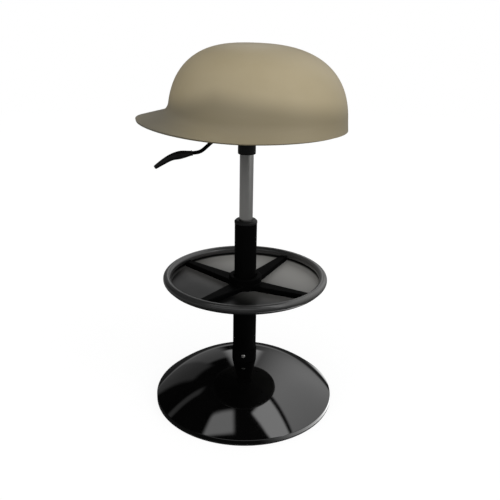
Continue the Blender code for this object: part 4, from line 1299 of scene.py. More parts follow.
@dataclass
class Footrest(SubAssembly):
    """The ring, the cast spider with its four arms, the plate under the arms, and what fastens them."""

    arm_count: int = 4
    first_angle: float = math.radians(56)
    root_width: float = 0.036
    tip_width: float = 0.017
    tip_bite: float = 0.2
    arm_depth: float = 0.0125
    root_drop: float = 0.011
    tip_drop: float = 0.002
    arm_edge: float = 0.0022
    hub_wall: float = 0.012
    hub_edge: float = 0.003
    hub_rise: float = 0.004
    plate_thickness: float = 0.002
    plate_tuck: float = 0.004
    plate_sink: float = 0.005
    plate_edge: float = 0.0008
    plate_screw_circle: float = 0.120
    screw_size: ScrewSize = ScrewSize(shank=0.002, length=0.006, head=0.0042, rise=0.0022)
    grub_radius: float = 0.003
    cast_voxel: float = 0.001
    cast_smoothing: int = 6
    tube_steps: int = 32
    ring: NodeBox = field(default_factory=lambda: NodeBox.of("footrest_ring"))

    @property
    def tube_radius(self) -> float:
        """The radius of the ring's bar."""
        return (self.ring.top - self.ring.bottom) / 2

    @property
    def ring_radius(self) -> float:
        """The radius to the middle of the ring's bar."""
        return self.ring.radius - self.tube_radius

    @property
    def height(self) -> float:
        """The height of the ring's middle."""
        return self.ring.centre.z

    def arm_top(self, radius: float) -> float:
        """The height of an arm's upper face at a radius.

        Args:
            radius: The distance from the column's axis.

        Returns:
            The height over the floor.
        """
        hub, tip = self.hub_radius, self.ring_radius - self.tube_radius
        share = (radius - hub) / (tip - hub)
        return self.height - self.root_drop + (self.root_drop - self.tip_drop) * share

    @property
    def hub_radius(self) -> float:
        """The hub's outer radius."""
        return self.column_bore + self.hub_wall

    def ring_bar(self) -> Piece:
        """The ring, bent from round bar.

        Returns:
            The ring.
        """
        bar = self.tube_radius
        outline = [
            (self.ring_radius + bar * math.cos(angle), self.height + bar * math.sin(angle))
            for angle in around(self.tube_steps)
        ]
        return Workshop.turned("footrest_ring_bar", outline, LARGE_STEPS)

    def arm(self, angle: float) -> Piece:
        """One arm, from inside the hub's wall to just inside the ring.

        Args:
            angle: Its direction from the column.

        Returns:
            The arm, tapered and rising, with rounded edges.
        """
        root = self.hub_radius - self.hub_wall / 2
        tip = self.ring_radius - self.tube_radius * (1 - self.tip_bite)
        arm = Workshop.block("arm", (0, -0.5, 0), (1, 0.5, 1))
        for vert in arm.data.vertices:
            at_tip = vert.co.x > 0.5
            radius = tip if at_tip else root
            width = self.tip_width if at_tip else self.root_width
            top = self.arm_top(radius)
            vert.co = (radius, vert.co.y * width, top - (0 if vert.co.z > 0.5 else self.arm_depth))
        Workshop.modify(arm, "BEVEL", width=self.arm_edge, segments=4)
        return Workshop.move(arm, Matrix.Rotation(angle, 4, "Z"))

    def spider(self) -> Piece:
        """Hub and arms as one casting, its joints filled out as a mould leaves them.

        Returns:
            The casting.
        """
        bottom, top = NodeBox.of("footrest_spider").bottom, self.height + self.hub_rise
        bore, hub = self.column_bore, self.hub_radius
        outline = Workshop.rounded([(hub, top), (hub, bottom), (bore, bottom), (bore, top)], self.hub_edge)
        casting = Workshop.turned("footrest_spider_cast", outline, MEDIUM_STEPS)
        for angle in around(self.arm_count, self.first_angle):
            Workshop.combine(casting, self.arm(angle), "UNION")
        Workshop.modify(casting, "REMESH", mode="VOXEL", voxel_size=self.cast_voxel)
        Workshop.modify(casting, "SMOOTH", factor=0.5, iterations=self.cast_smoothing)
        Workshop.close(casting)
        return Workshop.polish(casting)

    def plate(self) -> Piece:
        """The dished plate that closes the footrest under the arms, its edge turned up to the ring.

        Returns:
            The plate.
        """
        box = NodeBox.of("footrest_plate")
        inner, bend = self.hub_radius - self.plate_thickness / 2, self.ring_radius - self.tube_radius
        inner_top = box.bottom + self.plate_thickness
        slope = (box.top - inner_top) / (box.radius - inner)
        sunk = inner_top - self.plate_sink
        edge = (box.radius + self.plate_tuck, box.top + slope * self.plate_tuck)
        upper = [(inner, sunk), (bend, sunk + slope * (bend - inner)), edge]
        lower = [(radius, height - self.plate_thickness) for radius, height in upper]
        outline = Workshop.rounded(upper[::-1] + lower, self.plate_edge)
        return Workshop.turned("footrest_plate_pressed", outline, LARGE_STEPS)

    def screws(self) -> list[Piece]:
        """The four screws that hold the plate up to the arms.

        Returns:
            The screws, in their places.
        """
        master = Workshop.screw("plate_screw", self.screw_size)
        places = {}
        for number, angle in enumerate(around(self.arm_count, self.first_angle), 1):
            box = NodeBox.of(f"footrest_screw_{number}")
            seat = polar(self.plate_screw_circle, angle, box.bottom + self.screw_size.rise - self.plate_sink)
            places[f"footrest_screw_cross_{number}"] = aim(seat, -Vector(UP))
        return Workshop.copies(master, places)

    def grub_screw(self) -> Piece:
        """The headless screw that locks the hub, with its six-sided socket.

        Returns:
            The screw, in its place.
        """
        box = NodeBox.of("hub_grub_screw")
        radius, length = self.grub_radius, self.hub_wall - 3 * FIT_GAP
        point = [(radius * 0.5, 0), (radius, radius * 0.5)]
        outline = [*point, (radius, length * 0.97), (radius * 0.9, length)]
        grub = Workshop.turned("hub_grub_screw_socket", outline, SMALL_STEPS, closed=False)
        Workshop.combine(grub, Workshop.post("socket", radius * 0.55, length * 0.6, length * 1.2, steps=6))
        Workshop.polish(grub)
        angle = math.atan2(box.centre.y, box.centre.x)
        inside = self.hub_radius - self.hub_wall + FIT_GAP
        return Workshop.move(grub, aim(polar(inside, angle, box.centre.z), polar(1, angle, 0)))

    def build(self) -> Iterator[Piece]:
        """Builds the footrest.

        Returns:
            The pieces, one after the other.
        """
        yield RING_LACQUER.dress(self.ring_bar(), Body.STAND, "footrest_ring")
        yield CAST_PAINT.dress(self.spider(), Body.STAND, "footrest_spider")
        yield PLATE_LACQUER.dress(self.plate(), Body.STAND, "footrest_plate")
        for number, screw in enumerate(self.screws(), 1):
            yield SATIN_PAINT.dress(screw, Body.STAND, f"footrest_screw_{number}")
        yield ZINC.dress(self.grub_screw(), Body.STAND, "hub_grub_screw")


@dataclass
class GasLift(SubAssembly):
    """The gas cylinder and the socket that holds the seat on it."""

    cylinder_wall: float = 0.0015
    cylinder_edge: float = 0.0009
    cylinder_cap: float = 0.004
    weld: float = 0.0022
    weld_steps: int = 6
    socket_chamfer: float = 0.001
    socket_edge: float = 0.0005
    button_crown: float = 0.0002
    button_edge: float = 0.0006

    def cylinder(self) -> Piece:
        """The cylinder, with a rolled edge at its top and an open foot.

        Returns:
            The cylinder.
        """
        box = NodeBox.of("gas_cylinder")
        bore = box.radius - self.cylinder_wall
        button = NodeBox.of("release_button").radius + FIT_GAP
        ceiling = box.top - self.cylinder_cap
        outline = [
            (box.radius, box.top), (box.radius, box.bottom), (bore, box.bottom), (bore, ceiling),
            (button, ceiling), (button, box.top),
        ]
        rounded = Workshop.rounded(outline, self.cylinder_edge)
        return Workshop.turned("gas_cylinder_tube", rounded, MEDIUM_STEPS)

    def socket(self) -> Piece:
        """The socket, with the weld bead that joins it to the carrier.

        Returns:
            The socket.
        """
        box = NodeBox.of("seat_socket")
        inner, chamfer = self.cylinder_bore, self.socket_chamfer
        turns = [math.pi / 2 * i / self.weld_steps for i in range(self.weld_steps + 1)]
        bead = [
            (box.radius + self.weld * (1 - math.sin(turn)), box.top - self.weld * (1 - math.cos(turn)))
            for turn in turns
        ]
        foot = [(box.radius, box.bottom + chamfer), (box.radius - chamfer, box.bottom), (inner, box.bottom)]
        outline = Workshop.rounded([*bead, *foot, (inner, box.top)], self.socket_edge)
        return Workshop.turned("seat_socket_turned", outline, MEDIUM_STEPS)

    def button(self) -> Piece:
        """The release button on the cylinder's top.

        Returns:
            The button.
        """
        box = NodeBox.of("release_button")
        taper, middle = box.radius * 0.45, box.radius * 0.3
        outline = [
            (middle, box.top), (box.radius - taper, box.top - self.button_crown),
            (box.radius, box.top - taper), (box.radius, box.bottom), (middle, box.bottom),
        ]
        softened = Workshop.rounded(outline, self.button_edge, closed=False)
        return Workshop.turned("release_button_turned", softened, SMALL_STEPS, closed=False)

    def build(self) -> Iterator[Piece]:
        """Builds the lift.

        Returns:
            The pieces, one after the other.
        """
        yield LIFT_STEEL.dress(self.cylinder(), Body.SEAT, "gas_cylinder")
        yield SOCKET_PAINT.dress(self.socket(), Body.SEAT, "seat_socket")
        yield BRIGHT_STEEL.dress(self.button(), Body.VALVE, "release_button")


@dataclass
class LeverFrame:
    """Where the release lever turns: its pivot, and the way that it points."""

    angle: float = math.radians(190)
    reach: float = 0.040
    rod_radius: float = 0.004
    eye_radius: float = 0.0065

    @property
    def height(self) -> float:
        """The pivot's height, just over the release button."""
        return NodeBox.of("release_button").top + FIT_GAP + self.rod_radius

    @property
    def matrix(self) -> Matrix:
        """The lever's own frame, with x outwards from the pivot."""
        pivot = polar(self.reach, self.angle, self.height)
        return Matrix.Translation(pivot) @ Matrix.Rotation(self.angle, 4, "Z")


@dataclass
class SeatCarrier(SubAssembly):
    """The folded carrier under the seat, the lever's saddle and pin, and the four seat bolts."""

    wall: float = 0.003
    length: float = 0.150
    channel_half_width: float = 0.039
    half_width: float = 0.080
    bend: float = 0.0045
    corner: float = 0.010
    sheet_edge: float = 0.0005
    saddle_wall: float = 0.002
    saddle_length: float = 0.012
    saddle_half_width: float = 0.0095
    saddle_bend: float = 0.0025
    slot_start: float = 0.0085
    slot_gap: float = 0.004
    pin_radius: float = 0.0024
    pin_head: float = 0.0036
    pin_crown: tuple[Point, ...] = ((0.3, 0.0012), (0.8, 0.0008), (1.0, 0.0))
    bolt_size: ScrewSize = ScrewSize(shank=0.003, length=0.012, head=0.006, rise=0.004)
    bolt_count: int = 4
    lever: LeverFrame = field(default_factory=LeverFrame)

    def folded(self, name: str, section: Sequence[Point], length: float, wall: float, bend: float) -> Piece:
        """A strip of sheet metal folded along x.

        Args:
            name: The piece's name.
            section: Points of (y, z) through the middle of the sheet.
            length: The strip's length, about the origin.
            wall: The sheet's thickness.
            bend: The radius of the folds.

        Returns:
            The strip, as a closed mesh.
        """
        path = Workshop.rounded(section, bend, closed=False, steps=6)
        start = path[0]
        Workshop.clear()
        bpy.ops.mesh.primitive_plane_add(size=1, location=(0, start[0], start[1]), scale=(1, 1, 1))
        strip = Workshop.adopt(name)
        Workshop.begin()
        bpy.ops.mesh.delete(type="ONLY_FACE")
        sheet = bmesh.from_edit_mesh(strip.data)
        for vert in [vert for vert in sheet.verts if vert.co.y > start[0]]:
            sheet.verts.remove(vert)
        for vert in sheet.verts:
            vert.co = (math.copysign(length / 2, vert.co.x), *start)
            vert.select = True
        sheet.select_flush(True)
        bmesh.update_edit_mesh(strip.data)
        for before, after in zip(path, path[1:]):
            step = (0, after[0] - before[0], after[1] - before[1])
            bpy.ops.mesh.extrude_region_move(TRANSFORM_OT_translate={"value": step})
        Workshop.end()
        Workshop.close(strip)
        Workshop.thicken(strip, wall, offset=0)
        return strip

    def carrier(self) -> Piece:
        """The carrier, with rounded corners, the cylinder's hole and the lever's notch.

        Returns:
            The carrier.
        """
        box = NodeBox.of("seat_carrier")
        floor, flange = box.bottom + self.wall / 2, box.top - self.wall / 2
        side = self.channel_half_width
        section = [
            (-self.half_width, flange), (-side, flange), (-side, floor), (side, floor), (side, flange),
            (self.half_width, flange),
        ]
        carrier = self.folded("seat_carrier_folded", section, self.length, self.wall, self.bend)
        self.round_corners(carrier)
        drill = Workshop.post("bore", self.cylinder_bore, box.bottom - self.wall, floor + 2 * self.wall)
        Workshop.combine(carrier, drill)
        Workshop.combine(carrier, self.notch(box.bottom))
        return Workshop.soften(carrier, self.sheet_edge, segments=2)

    def round_corners(self, carrier: Piece) -> None:
        """Rounds the four outer corners of the carrier's flanges.

        Args:
            carrier: The carrier, still with square corners.
        """
        Workshop.pick(carrier)
        Workshop.begin()
        bpy.ops.mesh.select_all(action="DESELECT")
        sheet = bmesh.from_edit_mesh(carrier.data)
        for edge in sheet.edges:
            ends = [vert.co for vert in edge.verts]
            run = ends[0] - ends[1]
            upright = abs(run.z) > self.wall / 2 and run.length < self.wall * 1.1
            outer = all(abs(end.y) > self.half_width - self.wall for end in ends)
            edge.select = upright and outer
        sheet.select_flush(True)
        bmesh.update_edit_mesh(carrier.data)
        bpy.ops.mesh.bevel(offset=self.corner, segments=6, affect="EDGES")
        Workshop.end()

    def notch(self, bottom: float) -> Piece:
        """The cutter for the notch in the carrier's floor where the lever passes down.

        Args:
            bottom: The height of the carrier's underside.

        Returns:
            The cutter.
        """
        half = self.lever.rod_radius + self.slot_gap
        low = (self.slot_start, -half, bottom - self.wall - self.lever.height)
        high = (self.length, half, bottom + 2 * self.wall - self.lever.height)
        return Workshop.move(Workshop.block("notch", low, high), self.lever.matrix)

    def saddle(self) -> Piece:
        """The small folded saddle that carries the lever's pin.

        Returns:
            The saddle, in its place.
        """
        floor = NodeBox.of("seat_carrier").bottom + self.wall
        drop = floor + FIT_GAP + self.saddle_wall / 2 - self.lever.height
        ear = self.lever.eye_radius
        side = self.saddle_half_width
        section = [(-side, ear), (-side, drop), (side, drop), (side, ear)]
        sizes = (self.saddle_length, self.saddle_wall, self.saddle_bend)
        saddle = self.folded("lever_saddle_folded", section, *sizes)
        Workshop.soften(saddle, self.sheet_edge, segments=2)
        return Workshop.move(saddle, self.lever.matrix)

    def pin(self) -> Piece:
        """The lever's pin, riveted at both ends.

        Returns:
            The pin, in its place.
        """
        reach = self.saddle_half_width + self.saddle_wall
        head = [(self.pin_head * across, reach + up) for across, up in self.pin_crown]
        foot = [(radius, -height) for radius, height in head]
        outline = [*foot, (self.pin_radius, -reach), (self.pin_radius, reach), *head[::-1]]
        pin = Workshop.turned("lever_pin_riveted", outline, SMALL_STEPS, closed=False)
        return Workshop.move(pin, self.lever.matrix @ Matrix.Rotation(math.pi / 2, 4, "X"))

    def bolts(self) -> list[Piece]:
        """The four bolts that hold the seat's board.

        Returns:
            The bolts, in their places.
        """
        master = Workshop.screw("seat_bolt", self.bolt_size)
        places = {}
        for number in range(1, self.bolt_count + 1):
            box = NodeBox.of(f"seat_bolt_{number}")
            seat = Vector((*box.centre.xy, box.bottom + self.bolt_size.rise))
            places[f"seat_bolt_cross_{number}"] = aim(seat, -Vector(UP))
        return Workshop.copies(master, places)

    def build(self) -> Iterator[Piece]:
        """Builds the carrier and what is fixed to it.

        Returns:
            The pieces, one after the other.
        """
        yield SATIN_PAINT.dress(self.carrier(), Body.SEAT, "seat_carrier")
        yield SATIN_PAINT.dress(self.saddle(), Body.SEAT, "lever_saddle")
        yield ZINC.dress(self.pin(), Body.SEAT, "lever_pin")
        for number, bolt in enumerate(self.bolts(), 1):
            yield ZINC.dress(bolt, Body.SEAT, f"seat_bolt_{number}")


@dataclass
class ReleaseLever(SubAssembly):
    """The bent lever rod with its eye, and the tapered grip."""

    pad_past_axis: float = 0.006
    bend: tuple[Point, ...] = ((0.012, -0.004), (0.036, -0.0212), (0.058, -0.0392), (0.078, -0.0432))
    grip_path: tuple[Point, ...] = ((0.101, -0.0464), (0.121, -0.0513), (0.139, -0.0612), (0.155, -0.0716))
    grip_radii: tuple[float, ...] = (0.0052, 0.0086, 0.0072, 0.0060, 0.0044)
    steps: int = 12
    end_steps: int = 6
    eye_half_width: float = 0.0082
    eye_core: float = 0.0005
    eye_edge: float = 0.0008
    bead: tuple[Point, ...] = ((-0.0016, 0.86), (-0.0012, 1.12), (0.0006, 1.12), (0.0016, 1.0))
    end_bulge: float = 0.5
    end_sweep: float = 0.96
    lever: LeverFrame = field(default_factory=LeverFrame)

    def stations(self) -> list[Vector]:
        """A smooth run of (x, z, radius) from the pad over the button to the grip's end.

        Returns:
            The stations.
        """
        inner = -(self.lever.reach + self.pad_past_axis)
        middle = [(inner, 0), (inner / 2, 0), (0, 0), *self.bend, *self.grip_path]
        plain = len(middle) - len(self.grip_radii)
        radii = [self.lever.rod_radius] * plain + list(self.grip_radii)
        points = [Vector((x, z, radius)) for (x, z), radius in zip(middle, radii)]
        padded = [2 * points[0] - points[1], *points, 2 * points[-1] - points[-2]]
        path = []
        for a, b, c, d in zip(padded, padded[1:], padded[2:], padded[3:]):
            for i in range(self.steps):
                t = i / self.steps
                curve = (2 * a - 5 * b + 4 * c - d) * t**2 + (3 * (b - c) + d - a) * t**3
                path.append(0.5 * (2 * b + (c - a) * t + curve))
        return [*path, points[-1]]

    @property
    def grip_start(self) -> int:
        """The station where the grip begins."""
        return self.steps * (2 + len(self.bend))

    def rod(self, path: list[Vector]) -> Piece:
        """The rod, with the eye that turns on the pin.

        Args:
            path: The lever's stations.

        Returns:
            The rod, in its place.
        """
        end = self.grip_start + self.steps // 2
        rod = Workshop.tube("lever_rod_bent", [(x, z, self.lever.rod_radius) for x, z, _ in path[:end]])
        half, core, outer = self.eye_half_width, self.eye_core, self.lever.eye_radius
        outline = [(core, -half), (outer, -half), (outer, half), (core, half)]
        softened = Workshop.rounded(outline, self.eye_edge, closed=False)
        eye = Workshop.turned("eye", softened, SMALL_STEPS, closed=False)
        Workshop.combine(rod, Workshop.move(eye, Matrix.Rotation(math.pi / 2, 4, "X")), "UNION")
        return Workshop.polish(Workshop.move(rod, self.lever.matrix))

    def grip(self, path: list[Vector]) -> Piece:
        """The grip, with rounded ends and a bead where the rod goes in.

        Args:
            path: The lever's stations.

        Returns:
            The grip, in its place.
        """
        run = path[self.grip_start :]
        first, last = run[0], run[-1]
        way = (run[1] - first).xy.normalized()
        lead = [(*(first.xy + way * shift), first.z * swell) for shift, swell in self.bead]
        out = (last - run[-2]).xy.normalized()
        tail = []
        for i in range(1, self.end_steps + 1):
            turn = math.pi / 2 * i / self.end_steps * self.end_sweep
            bulge = last.z * self.end_bulge * math.sin(turn)
            tail.append((*(last.xy + out * bulge), last.z * math.cos(turn)))
        grip = Workshop.tube("lever_grip_moulded", [*lead, *(tuple(point) for point in run[2:]), *tail])
        return Workshop.polish(Workshop.move(grip, self.lever.matrix))

    def build(self) -> Iterator[Piece]:
        """Builds the lever.

        Returns:
            The pieces, one after the other.
        """
        path = self.stations()
        yield SATIN_PAINT.dress(self.rod(path), Body.LEVER, "lever_rod")
        yield BLACK_PLASTIC.dress(self.grip(path), Body.LEVER, "lever_grip")


@dataclass
class Seat(SubAssembly):
    """The cap-shaped moulded shell and the board that closes it from below."""

    rim_drop: float = 0.0023
    crown_height: float = 0.1697
    crown_power: float = 2.6
    crown_front: float = 0.167
    crown_back: float = 0.211
    crown_half_width: float = 0.1755
    brim_front: float = 0.0665
    brim_side: float = 0.013
    brim_back: float = 0.001
    root_side: float = 0.018
    root_front_lift: float = 0.017
    root_back_drop: float = 0.004
    edge_side: float = -0.001
    edge_front_lift: float = 0.020
    edge_lift_power: float = 0.8
    fillet: float = 0.0165
    fillet_most: float = 0.8
    shell_wall: float = 0.005
    rim_radius: float = 0.0021
    board_inset: float = 0.001
    board_front_reach: float = 0.030
    rim_angle: float = math.radians(50)
    board_edge: float = 0.0016
    board_front_power: int = 4
    crown_rows: int = 44
    fillet_rows: int = 10
    brim_rows: int = 8
    steps: int = 160

    @property
    def base(self) -> float:
        """The height that the crown springs from."""
        return NodeBox.of("seat_board").bottom - self.rim_drop - self.edge_side

    @staticmethod
    def plan(angle: float, front: float, back: float, half: float) -> Vector:
        """A point of an oval that is longer to one side, at an angle from the back."""
        return Vector(((back if math.cos(angle) > 0 else front) * math.cos(angle), half * math.sin(angle)))

    def section(self, angle: float) -> list[Vector]:
        """The outer face at one angle.

        Args:
            angle: From the back, round the column.

        Returns:
            Points of crown, fillet and brim, from near the top to the brim's edge.
        """
        front, back = max(0.0, -math.cos(angle)) ** 2, max(0.0, math.cos(angle)) ** 2
        base = self.base
        root_height = base + self.root_side + self.root_front_lift * front - self.root_back_drop * back
        edge_height = base + self.edge_side + self.edge_front_lift * front**self.edge_lift_power
        root_plan = self.plan(angle, self.crown_front, self.crown_back, self.crown_half_width)
        edge_plan = self.plan(
            angle,
            self.crown_front + self.brim_front,
            self.crown_back + self.brim_back,
            self.crown_half_width + self.brim_side,
        )
        root, edge = Vector((*root_plan, root_height)), Vector((*edge_plan, edge_height))
        foot = (root_height + self.fillet - base) / self.crown_height
        low = math.asin(foot ** (self.crown_power / 2))
        points = []
        for row in range(1, self.crown_rows + 1):
            lean = math.pi / 2 - (math.pi / 2 - low) * row / self.crown_rows
            spread = math.cos(lean) ** (2 / self.crown_power)
            rise = math.sin(lean) ** (2 / self.crown_power)
            points.append(Vector((*(root_plan * spread), base + self.crown_height * rise)))
        start = points[-1]
        finish = root.lerp(edge, min(self.fillet_most, self.fillet / (edge - root).length))
        for row in range(1, self.fillet_rows + 1):
            t = row / self.fillet_rows
            points.append(start.lerp(root, t).lerp(root.lerp(finish, t), t))
        return points + [finish.lerp(edge, row / self.brim_rows) for row in range(1, self.brim_rows + 1)]

    def shell(self) -> Piece:
        """The shell: a tube extruded row by row, then each row drawn to its place in the seat's sections.

        Returns:
            The shell.
        """
        Workshop.clear()
        rows = self.crown_rows + self.fillet_rows + self.brim_rows
        bpy.ops.mesh.primitive_circle_add(vertices=self.steps, radius=1)
        shell = Workshop.adopt("seat_shell_moulded")
        Workshop.begin()
        for _ in range(rows - 1):
            bpy.ops.mesh.extrude_region_move(TRANSFORM_OT_translate={"value": (0, 0, 1)})
        bpy.ops.mesh.select_all(action="DESELECT")
        tube = bmesh.from_edit_mesh(shell.data)
        for vert in tube.verts:
            vert.select = vert.co.z < 0.5
        tube.select_flush(True)
        bmesh.update_edit_mesh(shell.data)
        Workshop.cap()
        Workshop.end()

        sections: dict[int, list[Vector]] = {}
        peak = Vector((0, 0, self.base + self.crown_height))
        for vert in shell.data.vertices:
            if vert.co.xy.length < 0.5:
                vert.co = peak
                continue
            step = round(math.atan2(vert.co.y, vert.co.x) / FULL_TURN * self.steps)
            if step not in sections:
                sections[step] = self.section(FULL_TURN * step / self.steps)
            vert.co = sections[step][round(vert.co.z)]
        Workshop.close(shell)
        Workshop.thicken(shell, self.shell_wall, offset=-1)
        return Workshop.soften(shell, self.rim_radius, segments=5, angle=self.rim_angle)

    def board(self) -> Piece:
        """The board, cut to the seat's plan and softened at its edges.

        Returns:
            The board.
        """
        box = NodeBox.of("seat_board")
        inset = self.shell_wall + self.board_inset
        Workshop.clear()
        bpy.ops.mesh.primitive_circle_add(vertices=self.steps, radius=1, location=(0, 0, box.bottom))
        board = Workshop.adopt("seat_board_ply")
        for vert in board.data.vertices:
            angle = math.atan2(vert.co.y, vert.co.x)
            spot = self.plan(
                angle, self.crown_front - inset, self.crown_back - inset, self.crown_half_width - inset
            )
            reach = self.board_front_reach * max(0.0, -math.cos(angle)) ** self.board_front_power
            vert.co = (spot.x - reach, spot.y, box.bottom)
        Workshop.begin()
        bpy.ops.mesh.extrude_region_move(TRANSFORM_OT_translate={"value": (0, 0, box.top - box.bottom)})
        Workshop.cap_ends()
        Workshop.end()
        Workshop.close(board)
        return Workshop.soften(board, self.board_edge, segments=3)

    def build(self) -> Iterator[Piece]:
        """Builds the seat."""
        yield BEIGE_SHELL.dress(self.shell(), Body.SEAT, "seat_shell")
        yield PLYWOOD.dress(self.board(), Body.SEAT, "seat_board")


@dataclass
class Mechanism(SubAssembly):
    """The solids inside column, base and seat, which keep their own shapes."""

    finishes: dict[str, Finish] = field(
        default_factory=lambda: {
            "base_weight": CAST_IRON,
            "column_flange": SATIN_PAINT,
            "bearing_race_lower": BRIGHT_STEEL,
            "bearing_cage": BRONZE,
            "bearing_race_upper": BRIGHT_STEEL,
            "rod_clip": BRIGHT_STEEL,
            "piston_rod": BRIGHT_STEEL,
            "piston": BRONZE,
            "cylinder_gland": BLACK_PLASTIC,
            "seat_liner": FOAM,
            **{f"flange_bolt_{number}": ZINC for number in range(1, 5)},
            **{f"tee_nut_{number}": ZINC for number in range(1, 5)},
        }
    )

    def build(self) -> Iterator[Piece]:
        """Puts a finish on each solid that is carried over.

        Returns:
            The solids, one after the other.
        """
        for name, finish in self.finishes.items():
            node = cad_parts[name]
            node.data.materials.clear()
            node.data.materials.append(finish.material())
            yield node


@dataclass(frozen=True)
class Softbox:
    """A bright panel of the studio, as the stool's gloss sees it.

    An edge is a plane (x, y, z, offset): a direction is inside where its dot product with x, y, z is more
    than the offset. A plane with a shorter x, y, z has a softer edge. The glow runs from its first value at
    the horizon to its second straight above.
    """

    edges: tuple[tuple[float, float, float, float], ...]
    glow: tuple[float, float]
    blur: float = 0.05

    @classmethod
    def wall(cls, bearing: Point, height: Point, glow: Point, blur: float = 0.1) -> "Softbox":
        """An upright panel, in degrees from +Y towards +X and in degrees above the horizon.

        Args:
            bearing: Its two upright edges, less than half a turn apart.
            height: Its lower and its upper edge.
            glow: Its light at the horizon, and straight above.
            blur: The width of its soft edges.

        Returns:
            The panel.
        """
        first, last = (math.radians(angle) for angle in bearing)
        low, high = (math.sin(math.radians(angle)) for angle in height)
        edges = (
            (math.cos(first), -math.sin(first), 0, 0), (-math.cos(last), math.sin(last), 0, 0),
            (0, 0, 1, low), (0, 0, -1, -high),
        )
        return cls(edges, glow, blur)


